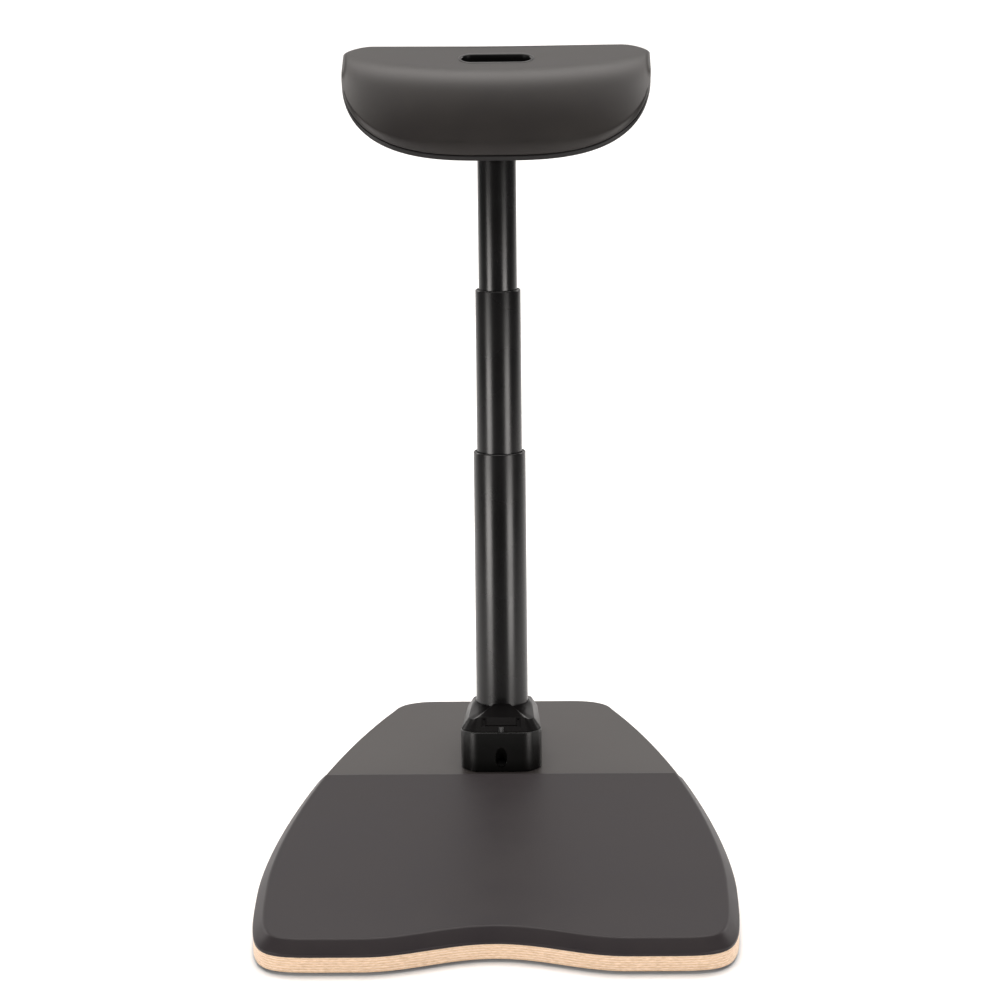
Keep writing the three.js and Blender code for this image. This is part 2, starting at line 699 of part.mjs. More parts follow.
function addBracket(group) {
  const tilt = Math.tan(lean + slope);
  const floor = new THREE.BoxGeometry(bracketHalf * 2, bracketFront + bracketRear, bracketPlate)
    .translate(0, (bracketRear - bracketFront) / 2, hubTop + bracketPlate / 2);
  const cheekTop = (y) => seatLift + y * tilt - seatGap - bracketPlate / 2;
  const profile = [
    [-bracketFront, hubTop], [bracketRear, hubTop], [bracketRear, cheekTop(bracketRear)],
    [cheekFront, cheekTop(cheekFront)], [-bracketFront, bracketFloorTop]];
  let bracket = solid(floor);
  [-1, 1].forEach((side) => {
    const cheek = widened(profile, bracketPlate / 2)
      .translate(side * (bracketHalf - bracketPlate / 2), 0, 0);
    bracket = bracket.add(solid(cheek));
    const flangeDepth = bracketRear / Math.cos(lean + slope) - cheekFront;
    const flange = new THREE.BoxGeometry(bracketFlange, flangeDepth, bracketPlate)
      .translate(side * (bracketHalf - bracketPlate + bracketFlange / 2),
        cheekFront + flangeDepth / 2, -seatGap - bracketPlate / 2)
      .applyMatrix4(seatFrame);
    bracket = bracket.add(solid(flange));
  });
  const pinHole = spigotRadius + slideGap;
  bracket = bracket.subtract(ring(0, pinHole, hubTop - cutOverrun, bracketFloorTop + cutOverrun, tubeSides));
  screwPlaces().forEach(([x, y]) => {
    bracket = bracket.subtract(screwBody(x, y, seatGap));
  });
  bracket = bracket.subtract(hingePinBody(seatGap));
  addPiece(group, 'seat_bracket', bracket, darkSteel);
  addPiece(group, 'seat_hub', ring(
    spigotRadius + slideGap, hubRadius, hubFoot, hubTop - seatGap, tubeSides), darkSteel);
  addPiece(group, 'hub_clip', ring(
    spigotRadius + slideGap, spigotRadius + clipReach, bracketFloorTop + slideGap,
    bracketFloorTop + slideGap + hubClipThickness, smallSides), steel);
}

// The four screws that hold the bracket to the shell, in the seat's frame.
function screwPlaces() {
  const x = bracketHalf + bracketFlange - bracketPlate - screwInset;
  return [cheekFront + screwInset, bracketRear - screwInset].flatMap((y) => [[-x, y], [x, y]]);
}

function screwBody(x, y, clearance) {
  const head = -seatGap - bracketPlate;
  const shank = screwRadius + clearance;
  const top = screwReach + clearance;
  const low = head - screwHeadHeight - seatGap;
  const profile = clearance > 0
    ? [[0, low], [shank, low], [shank, top], [0, top]]
    : [[0, low], [screwHeadRadius, low], [screwHeadRadius, head - seatGap],
      [shank, head - seatGap], [shank, top], [0, top]];
  return solid(turned(profile, smallSides).translate(x, y, 0).applyMatrix4(seatFrame));
}

function addScrews(group) {
  screwPlaces().forEach(([x, y], i) => {
    addPiece(group, `shell_screw_${i + 1}`, screwBody(x, y, 0), steel);
  });
}

function hingePinBody(clearance) {
  const half = bracketHalf + hingePinHeadHeight / 2;
  const radius = hingePinRadius + clearance;
  const reach = clearance > 0 ? half + cutOverrun : half;
  const shaft = new THREE.CylinderGeometry(radius, radius, reach * 2, smallSides);
  return solid(shaft.rotateZ(Math.PI / 2).translate(0, leverPivot, -leverDrop)
    .applyMatrix4(seatFrame));
}

// A point of the seat's top in the seat's frame. across runs from -1 to 1, along runs from 0 at
// the rear edge to 1 at the front edge, and depth is the height that the point is lowered by. Each
// lengthways line is flat, turns down quickly over the crest and goes on turning to the front.
// The flat part is half an ellipse in plan. A line's length fades from that of the middle line to
// that of the side as a superellipse does, which draws the front edge.
const seatThickness = shellThickness + padGap + padThickness;
const bendSteps = 24;

function seatPoint(across, along, depth) {
  const fade = (1 - Math.abs(across) ** frontFullness) ** (1 / frontFullness);
  const mix = (side, middle) => side + (middle - side) * fade;
  const flat = flatMiddle * Math.sqrt(1 - across ** 2);
  const bend = mix(lineSide, lineMiddle) - flat;
  const turn = THREE.MathUtils.degToRad(mix(turnSide, turnMiddle));
  const travel = along * (flat + bend);
  const bent = Math.max(travel - flat, 0);
  let y = seatBack - Math.min(travel, flat);
  let z = seatThickness - depth;
  for (let i = 0; i < bendSteps; i += 1) {
    const gone = bent * ((i + 0.5) / bendSteps);
    const crest = THREE.MathUtils.smoothstep(gone, 0, crestLength);
    const angle = turn * (crestShare * crest + (1 - crestShare) * (gone / bend));
    y -= (bent / bendSteps) * Math.cos(angle);
    z -= (bent / bendSteps) * Math.sin(angle);
  }
  return new THREE.Vector3(across * seatHalfWidth, y, z);
}

// A point of the shell's dish. It is flat in the middle, at the height flat, and runs out to the
// edge of the top, which it meets at the given depth below it.
function dishPoint(edge, share, flat, depth) {
  const bend = THREE.MathUtils.smoothstep(share, dishShare, 1);
  return new THREE.Vector3(
    edge.x * share,
    dishMiddle + (edge.y - dishMiddle) * share,
    flat + (edge.z - depth - flat) * bend);
}

// The seat's outline in shares of its width and length, clockwise from the rear middle.
function seatOutline() {
  const cornerAcross = seatCornerAcross / seatHalfWidth;
  const cornerAlong = seatCornerAlong / lineSide;
  const rearSteps = 5;
  const sideSteps = 3;
  const frontSteps = 11;
  const half = [];
  for (let i = 0; i < rearSteps; i += 1) half.push([(1 - cornerAcross) * (i / rearSteps), 0]);
  for (let i = 0; i < cornerSteps; i += 1) {
    const angle = (Math.PI / 2) * (i / cornerSteps);
    half.push([1 - cornerAcross * (1 - Math.sin(angle)), cornerAlong * (1 - Math.cos(angle))]);
  }
  for (let i = 0; i < sideSteps; i += 1) {
    half.push([1, cornerAlong + (1 - cornerAlong) * (i / sideSteps)]);
  }
  for (let i = 0; i <= frontSteps; i += 1) {
    const angle = (Math.PI / 2) * (i / frontSteps);
    half.push([Math.max(Math.cos(angle), 0) ** (2 / frontFullness), 1]);
  }
  const last = half.length - 1;
  half[last][0] = 0;
  const left = half.slice(1, last).reverse().map(([across, along]) => [-across, along]);
  return [...half, ...left];
}

// A closed skin of rings, which run from a point in the middle of the top out to the rim and back
// to a point in the middle of the bottom. A ring lies a share of the way out, or at an inset from
// the rim. It is a ring of the top, lowered by its depth, or one of the dish, with a flat height.
const topMiddleShare = 0.42;
function seatSkin(rings) {
  const outline = seatOutline();
  const centre = seatPoint(0, topMiddleShare, 0);
  const edges = outline.map(([across, along]) => seatPoint(across, along, 0));
  const shareOut = ({ share, inset }, i) => share ?? 1 - inset / edges[i].distanceTo(centre);
  const rows = rings.map((layer) => outline.map(([across, along], i) => {
    const out = shareOut(layer, i);
    if (layer.flat !== undefined) return dishPoint(edges[i], out, layer.flat, layer.depth);
    return seatPoint(
      across * out, topMiddleShare + (along - topMiddleShare) * out, layer.depth);
  }));
  const count = outline.length;
  const first = rings[0];
  const last = rings[rings.length - 1];
  const places = rows.flat();
  const middleOf = (layer) => (layer.flat === undefined ? centre
    : new THREE.Vector3(0, dishMiddle, layer.flat));
  places.push(middleOf(first), middleOf(last));
  const corners = [];
  for (let k = 0; k < count; k += 1) {
    const next = (k + 1) % count;
    corners.push(places.length - 2, next, k);
    for (let i = 0; i < rows.length - 1; i += 1) {
      // Each patch is split from its inner to its outer corner, so that layers stay parallel.
      const [low, high] = [i * count, (i + 1) * count];
      if (shareOut(rings[i + 1], 0) > shareOut(rings[i], 0)) {
        corners.push(low + k, low + next, high + next, low + k, high + next, high + k);
      } else {
        corners.push(low + k, low + next, high + k, low + next, high + next, high + k);
      }
    }
    const end = (rows.length - 1) * count;
    corners.push(places.length - 1, end + k, end + next);
  }
  const geometry = new THREE.BufferGeometry();
  geometry.setAttribute('position', new THREE.Float32BufferAttribute(
    places.flatMap((point) => point.toArray()), 3));
  geometry.setIndex(corners);
  return geometry;
}

// An outline with straight sides and round ends, centred on the hand slot.
function slotOutline(halfLength, halfWidth, steps) {
  const middle = seatBack - slotFromRear;
  const straight = halfLength - halfWidth;
  const points = [];
  for (let i = 0; i <= steps; i += 1) {
    const angle = Math.PI * (i / steps) - Math.PI / 2;
    points.push(new THREE.Vector2(
      straight + halfWidth * Math.cos(angle), middle + halfWidth * Math.sin(angle)));
  }
  return [...points, ...points.map((p) => new THREE.Vector2(-p.x, middle * 2 - p.y))];
}

function addSeat(group) {
  const slotSteps = 10;
  const padFoot = shellThickness + padGap;
  const padTop = seatThickness;
  const shares = [0.2, 0.4, 0.55, 0.68, 0.79, 0.88];
  const slot = solid(raised(slotOutline(slotHalfLength, slotHalfWidth, slotSteps),
    -cutOverrun * 2, padTop + cutOverrun * 2));

  const rollShares = [0.4, 0.75, 1];
  const roll = rollShares.map((share) => {
    const angle = (Math.PI / 2) * share;
    return {
      inset: padEdgeRadius * (1 - Math.sin(angle)),
      depth: padEdgeRadius * (1 - Math.cos(angle)),
    };
  });
  const under = (flat, depth, insets) => [
    ...insets.map((inset) => ({ inset, flat, depth })),
    ...[...shares].reverse().map((share) => ({ share, flat, depth })),
  ];
  const pad = solid(seatSkin([
    ...shares.map((share) => ({ share, depth: 0 })),
    { inset: padEdgeRadius, depth: 0 },
    ...roll,
    ...under(padFoot, padRim, [padSeam, padEdgeRadius]),
  ]));
  addPiece(group, 'seat_pad', pad.subtract(slot), padCover);

  const shellRimTop = padRim + padGap;
  const shellRimFoot = shellRimTop + shellRim;
  const setback = shellInset + shellEdgeRadius;
  const shell = solid(seatSkin([
    ...under(shellThickness, shellRimTop, [setback, padEdgeRadius]).reverse(),
    { inset: shellInset, flat: shellThickness, depth: shellRimTop + shellEdgeRadius },
    { inset: shellInset, flat: 0, depth: shellRimFoot - shellEdgeRadius },
    ...under(0, shellRimFoot, [setback, padEdgeRadius]),
  ]));
  const screwHoles = screwPlaces().map(([x, y]) => {
    const hole = turned([
      [0, -cutOverrun], [screwRadius + seatGap, -cutOverrun],
      [screwRadius + seatGap, screwReach + seatGap], [0, screwReach + seatGap]], smallSides);
    return solid(hole.translate(x, y, 0));
  });
  const drilled = screwHoles.reduce((body, hole) => body.subtract(hole), shell.subtract(slot));
  addPiece(group, 'seat_shell', drilled, shellPlastic);

  const outerLength = slotHalfLength - seatGap;
  const outerWidth = slotHalfWidth - seatGap;
  const sleeve = solid(raised(slotOutline(outerLength, outerWidth, slotSteps), 0, padTop + seatGap));
  const lipFoot = padTop + seatGap;
  const lip = solid(raised(
    slotOutline(outerLength + linerLipWidth, outerWidth + linerLipWidth, slotSteps),
    lipFoot, lipFoot + linerLipHeight));
  const hollow = solid(raised(
    slotOutline(outerLength - linerWall, outerWidth - linerWall, slotSteps),
    -cutOverrun, padTop + cutOverrun * 2));
  addPiece(group, 'slot_liner', sleeve.add(lip).subtract(hollow), linerPlastic);
}

// The release lever: an arm that runs back from over the release pin, through the bracket, and
// steps down to a wide paddle below the hand slot. It turns on the hinge pin.
function addRelease(group) {
  const thick = leverThickness / 2;
  const slotMiddle = seatBack - slotFromRear;
  const paddleFront = slotMiddle - paddleLength / 2;
  const paddleRear = slotMiddle + paddleLength / 2;
  const armBend = leverPivot + hingeBoss;
  const arm = solid(widened([
    [-leverNose, -leverDrop - thick], [armBend, -leverDrop - thick],
    [paddleFront, -paddleDrop - thick], [slotMiddle, -paddleDrop - thick],
    [slotMiddle, thick - paddleDrop], [paddleFront, thick - paddleDrop],
    [armBend, thick - leverDrop], [-leverNose, thick - leverDrop]], leverHalfWidth));
  const half = [
    [paddleHalfWidth, paddleFront], [paddleHalfWidth, paddleRear - paddleCorner],
    [paddleHalfWidth - paddleCorner, paddleRear]];
  const outline = [...half, ...[...half].reverse().map(([x, y]) => [-x, y])];
  const paddle = solid(raised(
    outline.map(([x, y]) => new THREE.Vector2(x, y)), -paddleDrop - thick, thick - paddleDrop));
  const across = (radius, reach) => solid(
    new THREE.CylinderGeometry(radius, radius, reach * 2, smallSides)
      .rotateZ(Math.PI / 2).translate(0, leverPivot, -leverDrop));
  addPiece(group, 'release_paddle', arm.add(paddle).add(across(hingeBoss, leverHalfWidth))
    .subtract(across(hingePinRadius + slideGap, bracketHalf)), darkSteel);

  const front = paddleFront + sleeveSetback;
  const box = (x, y0, y1, gap) => solid(
    new THREE.BoxGeometry(x * 2, y1 - y0, leverThickness + gap * 2)
      .translate(0, (y0 + y1) / 2, -paddleDrop));
  const skin = box(paddleHalfWidth + sleeveWall, front, paddleRear + sleeveWall, sleeveWall);
  const room = box(
    paddleHalfWidth + seatGap, front - cutOverrun, paddleRear + seatGap, seatGap);
  addPiece(group, 'paddle_sleeve', skin.subtract(room), rubber);
}

function addHingePin(group) {
  addPiece(group, 'hinge_pin', hingePinBody(0), steel);
}

const stool = new THREE.Group();
const platform = new THREE.Group();
addPlatform(platform);
addFootBlock(platform);

const column = new THREE.Group();
column.applyMatrix4(columnFrame);
addCollar(column);
addColumn(column);
addGasSpring(column);
addSwivel(column);
addBracket(column);
addScrews(column);
addHingePin(column);

const seat = new THREE.Group();
seat.applyMatrix4(seatFrame);
addSeat(seat);
addRelease(seat);
column.add(seat);
stool.add(platform, column);

// The origin is the middle of the whole stool's footprint, on the floor.
stool.updateMatrixWorld(true);
const extent = new THREE.Box3().setFromObject(stool, true);
const middle = extent.getCenter(new THREE.Vector3());
stool.position.set(-middle.x, -middle.y, -extent.min.z);
stool.updateMatrixWorld(true);

export default stool;
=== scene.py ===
# %% [markdown]
# # A perch stool for a standing desk
#
# The stool is a plywood platform with a foam standing mat, a three-stage telescopic column that
# leans back, and a moulded seat with a hand slot. The CAD frame already gives every piece its
# place. This lesson dresses that frame: each cell takes one piece or finish, says what it is on
# the real stool, and makes it as a surface worked out with numpy. Lengths are written in
# millimetres, as on a drawing, and turned to metres once.

# %% Load the frame
import math

import bmesh
import bpy
import numpy as np
from mathutils import Matrix, Vector


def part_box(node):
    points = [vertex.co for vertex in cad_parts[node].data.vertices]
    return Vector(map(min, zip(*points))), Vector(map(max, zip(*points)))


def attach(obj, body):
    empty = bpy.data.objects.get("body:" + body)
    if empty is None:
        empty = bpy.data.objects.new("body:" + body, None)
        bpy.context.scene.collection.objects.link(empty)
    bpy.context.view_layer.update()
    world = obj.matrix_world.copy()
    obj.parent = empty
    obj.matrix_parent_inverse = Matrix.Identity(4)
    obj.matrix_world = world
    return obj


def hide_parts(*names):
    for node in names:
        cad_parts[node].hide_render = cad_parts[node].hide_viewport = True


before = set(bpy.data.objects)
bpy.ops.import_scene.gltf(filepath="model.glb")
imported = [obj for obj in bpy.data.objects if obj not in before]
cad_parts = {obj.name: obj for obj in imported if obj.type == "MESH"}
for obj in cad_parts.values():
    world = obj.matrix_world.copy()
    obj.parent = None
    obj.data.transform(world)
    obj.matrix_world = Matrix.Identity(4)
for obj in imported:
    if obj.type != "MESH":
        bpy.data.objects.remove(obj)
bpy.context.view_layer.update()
MM = 0.001

# %% [markdown]
# ## One way to say where things are
#
# The platform is drawn from the foot of the column, where the tube meets the board. The column
# is drawn along its own axis, which leans back, and the seat is drawn in a frame that sits on
# that axis and slopes forward. Three small functions turn those drawings into the shared frame,
# so every later cell can use the numbers a maker would read off the drawing.

# %% Places: platform, column and seat
FOOT_HEIGHT = 3.0
BOARD_THICKNESS = 18.0
BOARD_TOP = FOOT_HEIGHT + BOARD_THICKNESS
BLOCK_FRONT = 95.0
LEAN = math.radians(8.0)
SEAT_TILT = math.radians(16.0)
SEAT_LIFT = 732.7
# Between pieces that rest on each other, so that no two faces share a plane.
HAIRLINE = 0.05
column_foot_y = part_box("foot_block")[0].y / MM + BLOCK_FRONT


def xyz(x, y, z):
    """Stack three arrays, or numbers, of one shape into an array of points."""
    return np.stack(np.broadcast_arrays(x, y, z), axis=-1).astype(float)


def on_platform(points):
    """Platform drawing to the shared frame: slide it back to the column's foot."""
    return (points + [0, column_foot_y, 0]) * MM


def on_column(points):
    """Column drawing to the shared frame: turn by the lean, then stand it on the board."""
    x, y, s = points[..., 0], points[..., 1], points[..., 2]
    turned_y = y * math.cos(LEAN) + s * math.sin(LEAN)
    turned_z = s * math.cos(LEAN) - y * math.sin(LEAN)
    return on_platform(xyz(x, turned_y, turned_z + BOARD_TOP))


def on_seat(points):
    """Seat drawing to the shared frame: tilt it, lift it along the column, then lean it."""
    x, y, z = points[..., 0], points[..., 1], points[..., 2]
    tilted_y = y * math.cos(SEAT_TILT) - z * math.sin(SEAT_TILT)
    tilted_z = y * math.sin(SEAT_TILT) + z * math.cos(SEAT_TILT)
    return on_column(xyz(x, tilted_y, tilted_z + SEAT_LIFT))


print("column foot is", round(column_foot_y, 2), "mm behind the origin")

# %% [markdown]
# ## The camera
#
# A product photograph like this one is taken from well back with a long lens, so that upright
# lines stay nearly parallel. A 126 mm lens about 3.9 m away, looking down by 18.5 degrees, puts
# the corners of the platform, the rims of the tubes and the seat where the photograph has them.

# %% Camera
CAMERA_LENS = 126.0
FILM_WIDTH = 36.0
CAMERA_PITCH = math.radians(18.5)
CAMERA_YAW = math.radians(1.074)
CAMERA_ROLL = math.radians(0.752)
CAMERA_DISTANCE = 3892.4
CAMERA_AIM = np.array([2.414, -95.4, 347.7])

ahead = np.array([
    -math.sin(CAMERA_YAW) * math.cos(CAMERA_PITCH),
    math.cos(CAMERA_YAW) * math.cos(CAMERA_PITCH),
    -math.sin(CAMERA_PITCH),
])
level_right = np.array([math.cos(CAMERA_YAW), math.sin(CAMERA_YAW), 0.0])
level_up = np.cross(level_right, ahead)
right = level_right * math.cos(CAMERA_ROLL) - level_up * math.sin(CAMERA_ROLL)
up = level_up * math.cos(CAMERA_ROLL) + level_right * math.sin(CAMERA_ROLL)

camera_data = bpy.data.cameras.new("camera")
camera_data.lens = CAMERA_LENS
camera_data.sensor_width = FILM_WIDTH
camera = bpy.data.objects.new("camera", camera_data)
bpy.context.scene.collection.objects.link(camera)
place = np.eye(4)
place[:3, 0], place[:3, 1], place[:3, 2] = right, up, -ahead
place[:3, 3] = on_platform(CAMERA_AIM) - ahead * CAMERA_DISTANCE * MM
camera.matrix_world = Matrix(place.tolist())
bpy.context.scene.camera = camera
print("camera at", [round(float(v), 3) for v in place[:3, 3]])

# %% [markdown]
# ## Light
#
# The photograph was taken in a white studio. The strong light overhead hangs behind the stool,
# so that flat tops show its sheen while the faces that look forward stay dark. A weak one above
# the front lifts the mat and the crest of the seat. A bright backdrop and a lamp on each side
# behind whiten the floor. A soft box on each side in front, from the floor to just above the
# seat, draws the two upright bands on the tubes. The lamps are a little warm, as the greys in
# the photograph are.

# %% Soft boxes
LAMP_COLOUR = (1.0, 0.965, 0.94)
SKY_COLOUR = (0.95, 0.97, 1.0, 1.0)
SKY_STRENGTH = 0.12
# Place, aim, width and height in metres, and power in watts.
lamps = {
    "overhead": ((0, 1.5, 3.6), (0, 1.5, 0), 3.6, 2.6, 182),
    "backdrop": ((0, 7.0, 2.9), (0, 0, 1.5), 10.0, 6.0, 170),
    "left_background": ((-5.5, 5.0, 3.0), (0, 4.5, 0), 2.0, 2.0, 160),
    "right_background": ((5.5, 5.0, 3.0), (0, 4.5, 0), 2.0, 2.0, 160),
    "overhead_front": ((0, -0.7, 3.6), (0, -0.7, 0), 3.6, 1.8, 44),
    "left_box": ((-2.65, -1.95, 0.48), (0, 0.15, 0.48), 1.4, 0.96, 62),
    "right_box": ((2.4, -2.3, 0.48), (0, 0.15, 0.48), 1.4, 0.96, 56),
}


def soft_box(name, place, aim, width, height, power):
    """A rectangular area light at place, facing aim; the camera doesn't see it."""
    lamp = bpy.data.lights.new(name, "AREA")
    lamp.shape = "RECTANGLE"
    lamp.size, lamp.size_y = width, height
    lamp.energy = power
    lamp.color = LAMP_COLOUR
    holder = bpy.data.objects.new(name, lamp)
    bpy.context.scene.collection.objects.link(holder)
    holder.location = place
    facing = (np.array(aim) - np.array(place)).tolist()
    holder.rotation_euler = Vector(facing).to_track_quat("-Z", "Y").to_euler()
    holder.visible_camera = False


for name, settings in lamps.items():
    soft_box(name, *settings)

world = bpy.data.worlds.new("studio")
world.use_nodes = True
world.node_tree.nodes["Background"].inputs["Color"].default_value = SKY_COLOUR
world.node_tree.nodes["Background"].inputs["Strength"].default_value = SKY_STRENGTH
bpy.context.scene.world = world
bpy.context.scene.view_settings.view_transform = "Standard"
print("soft boxes:", len(lamps))

# %% [markdown]
# ## Finishes
#
# Each finish starts from what the real material is. One helper adds a node with its settings
# and its links, and one turns an sRGB hex value into the linear colour that a shader works in.
# Patterns are scaled in millimetres: a noise scale is 1000 divided by the size of one grain,
# because Object coordinates are in metres.


# %% Helpers for finishes
def linear(hex_colour):
    """An sRGB hex colour as linear red, green, blue and alpha, by the sRGB curve."""
    channels = [int(hex_colour[i : i + 2], 16) / 255 for i in (1, 3, 5)]
    curve = [c / 12.92 if c <= 0.04045 else ((c + 0.055) / 1.055) ** 2.4 for c in channels]
    return (*curve, 1.0)


def add_node(tree, kind, settings=None, values=None, links=None, stops=()):
    """Add a node: its properties, its sockets' values or sources, and a ramp's colour stops."""
    made = tree.nodes.new(kind)
    for key, value in (settings or {}).items():
        setattr(made, key, value)
    for key, value in (values or {}).items():
        made.inputs[key].default_value = value
    for key, source in (links or {}).items():
        tree.links.new(source, made.inputs[key])
    if stops:
        steps = made.color_ramp.elements
        while len(steps) < len(stops):
            steps.new(0.5)
        for step, (position, colour) in zip(steps, stops):
            step.position = position
            step.color = linear(colour)
    return made


def per_mm(size):
    """The scale of a pattern whose grains are size millimetres across."""
    return 1000.0 / size


def new_finish(name, values):
    """A material with a Principled shader, its node tree, its shader and Object coordinates."""
    finish = bpy.data.materials.new(name)
    finish.use_nodes = True
    tree = finish.node_tree
    tree.nodes.clear()
    shader = add_node(tree, "ShaderNodeBsdfPrincipled", values=values)
    add_node(tree, "ShaderNodeOutputMaterial", links={"Surface": shader.outputs["BSDF"]})
    where = add_node(tree, "ShaderNodeTexCoord").outputs["Object"]
    return finish, tree, shader, where


# %% [markdown]
# ### Moulded and coated blacks
#
# Most of the stool is black, but no two of its blacks are alike. Powder coat on steel is a deep
# semi-gloss with a faint orange peel. Glass-filled nylon, straight from the mould, is blacker and
# a little duller. The laminate on the board has a fine leathery press texture and shows the
# studio as a grey sheen. So each gets its own base colour, roughness, reflection and grain.

# %% One recipe for the blacks
# The slow drift of tone that handling and cooling leave, in millimetres.
PATCH = 60.0


def grained_finish(name, low, high, rough, grain, depth, spread=0.06, specular=0.5):
    """A dark finish: a slow drift between two colours and in roughness, and a fine bump.

    The bump is noise whose grain and depth are given in millimetres.
    """
    finish, tree, shader, where = new_finish(
        name, {"Roughness": rough, "Specular IOR Level": specular})
    drift = add_node(
        tree, "ShaderNodeTexNoise", values={"Scale": per_mm(PATCH)}, links={"Vector": where}
    ).outputs["Fac"]
    colour = add_node(
        tree, "ShaderNodeValToRGB", links={"Fac": drift}, stops=[(0.3, low), (0.7, high)])
    level = add_node(
        tree, "ShaderNodeMapRange", links={"Value": drift},
        values={"From Min": 0.3, "From Max": 0.7, "To Min": rough - spread, "To Max": rough + spread})
    fine = add_node(
        tree, "ShaderNodeTexNoise", values={"Scale": per_mm(grain), "Detail": 3.0},
        links={"Vector": where})
    bump = add_node(
        tree, "ShaderNodeBump", values={"Distance": depth * MM, "Strength": 1.0},
        links={"Height": fine.outputs["Fac"]})
    tree.links.new(colour.outputs["Color"], shader.inputs["Base Color"])
    tree.links.new(level.outputs["Result"], shader.inputs["Roughness"])
    tree.links.new(bump.outputs["Normal"], shader.inputs["Normal"])
    return finish


# %% [markdown]
# Coats and mouldings on round and faceted pieces are known by the bands of light on them. So their
# base colours are nearly black, and roughness and reflection say how wide and bright a band is.

# %% Finishes of the column, the block and the cover
# Powder coat: baked polyester on steel tube, semi-gloss, with orange peel about 1 mm across.
powder_coat = grained_finish(
    "powder_coated_steel", "#090808", "#0b0a0a", 0.27, 1.0, 0.004, spread=0.03, specular=0.33)
# Glass-filled nylon, injection moulded: deep black, with a spark-eroded grain of 0.5 mm.
moulded_nylon = grained_finish(
    "moulded_nylon", "#040403", "#060605", 0.33, 0.5, 0.004, spread=0.03, specular=0.38)
# The cover's ABS, from a finely blasted mould: dark, with hardly any mirror image.
satin_abs = grained_finish(
    "satin_abs", "#0e0d0d", "#111010", 0.3, 0.8, 0.003, spread=0.03, specular=0.03)
# Acetal guide rings: turned, matt and slightly waxy.
turned_acetal = grained_finish("turned_acetal", "#0d0d0d", "#121212", 0.45, 0.3, 0.004)
# Electrocoat on pressed steel: thin, semi-matt, follows every scratch of the sheet.
electrocoat = grained_finish("electrocoated_steel", "#1b1b1c", "#212122", 0.4, 0.7, 0.01)
# Black oxide on a small screw: thin, dark, dull inside its pocket.
black_oxide = grained_finish(
    "black_oxide_steel", "#050505", "#080808", 0.35, 0.6, 0.004, specular=0.15)
# Blued spring steel: the clip's bent strip, polished by the bending.
blued_steel = grained_finish(
    "blued_spring_steel", "#08080a", "#0c0c0e", 0.25, 0.6, 0.002, spread=0.03, specular=0.32)
# Rubber: matt, a little dusty.
foot_rubber = grained_finish("foot_rubber", "#161616", "#1e1e1e", 0.8, 0.6, 0.03)
print("coats and mouldings:", len(bpy.data.materials))

# %% [markdown]
# Sheets and skins are wide and soft to look at, so their own colour counts for more. They are
# lighter and rougher than the coats.

# %% Finishes of the board, the mat and the seat
# Laminate: phenolic sheet pressed against a leathery plate, grain about 0.6 mm.
laminate = grained_finish(
    "black_laminate", "#2e2a28", "#322e2c", 0.4, 0.6, 0.012, spread=0.02, specular=0.42)
# The standing mat: integral-skin polyurethane foam with a fine moulded texture.
mat_skin = grained_finish(
    "foam_mat_skin", "#282426", "#2c2829", 0.43, 0.8, 0.012, spread=0.02, specular=0.14)
# The seat's skin: self-skinning polyurethane, silky, with a grain finer than leather.
seat_skin = grained_finish(
    "polyurethane_seat_skin", "#201d1c", "#24211f", 0.45, 0.7, 0.01, spread=0.02, specular=0.31)
# The seat's shell: polypropylene moulded as structural foam, with faint swirls in its skin.
shell_foam = grained_finish(
    "structural_foam_shell", "#191818", "#1d1c1c", 0.38, 1.2, 0.015, specular=0.25)
# The slot's liner: moulded ABS, satin.
liner_abs = grained_finish("liner_abs", "#151414", "#191818", 0.35, 0.5, 0.004, specular=0.3)
print("with sheets and skins:", len(bpy.data.materials))

# %% [markdown]
# ### Zinc-plated steel
#
# Bolts, washers and the rod are plated steel: a metal, so it has no diffuse colour of its own.
# The plating leaves faint cloudy patches about 4 mm across, which are a drift in roughness.

# %% Zinc plate
CLOUD = 4.0
zinc_plate, tree, shader, where = new_finish("zinc_plated_steel", {"Metallic": 1.0})
clouds = add_node(
    tree, "ShaderNodeTexNoise", values={"Scale": per_mm(CLOUD)}, links={"Vector": where}
).outputs["Fac"]
zinc_tone = add_node(
    tree, "ShaderNodeValToRGB", links={"Fac": clouds}, stops=[(0.3, "#8f9193"), (0.7, "#b4b5b6")])
zinc_rough = add_node(
    tree, "ShaderNodeMapRange", values={"To Min": 0.25, "To Max": 0.4}, links={"Value": clouds})
tree.links.new(zinc_tone.outputs["Color"], shader.inputs["Base Color"])
tree.links.new(zinc_rough.outputs["Result"], shader.inputs["Roughness"])
print("plated finish:", zinc_plate.name)

# %% [markdown]
# ### Birch plywood
#
# A plywood edge is a stack of thin veneers: every second one shows its end grain, which is
# darker and specked, and between each pair runs a thin glue line. The stack follows the height
# above the floor.

# %% Edge of the plywood
VENEER = 1.4
FLECK = 6.0
BIRCH_LIGHT, BIRCH_DARK, GLUE = "#e2cbb4", "#d8ba9b", "#a67e59"


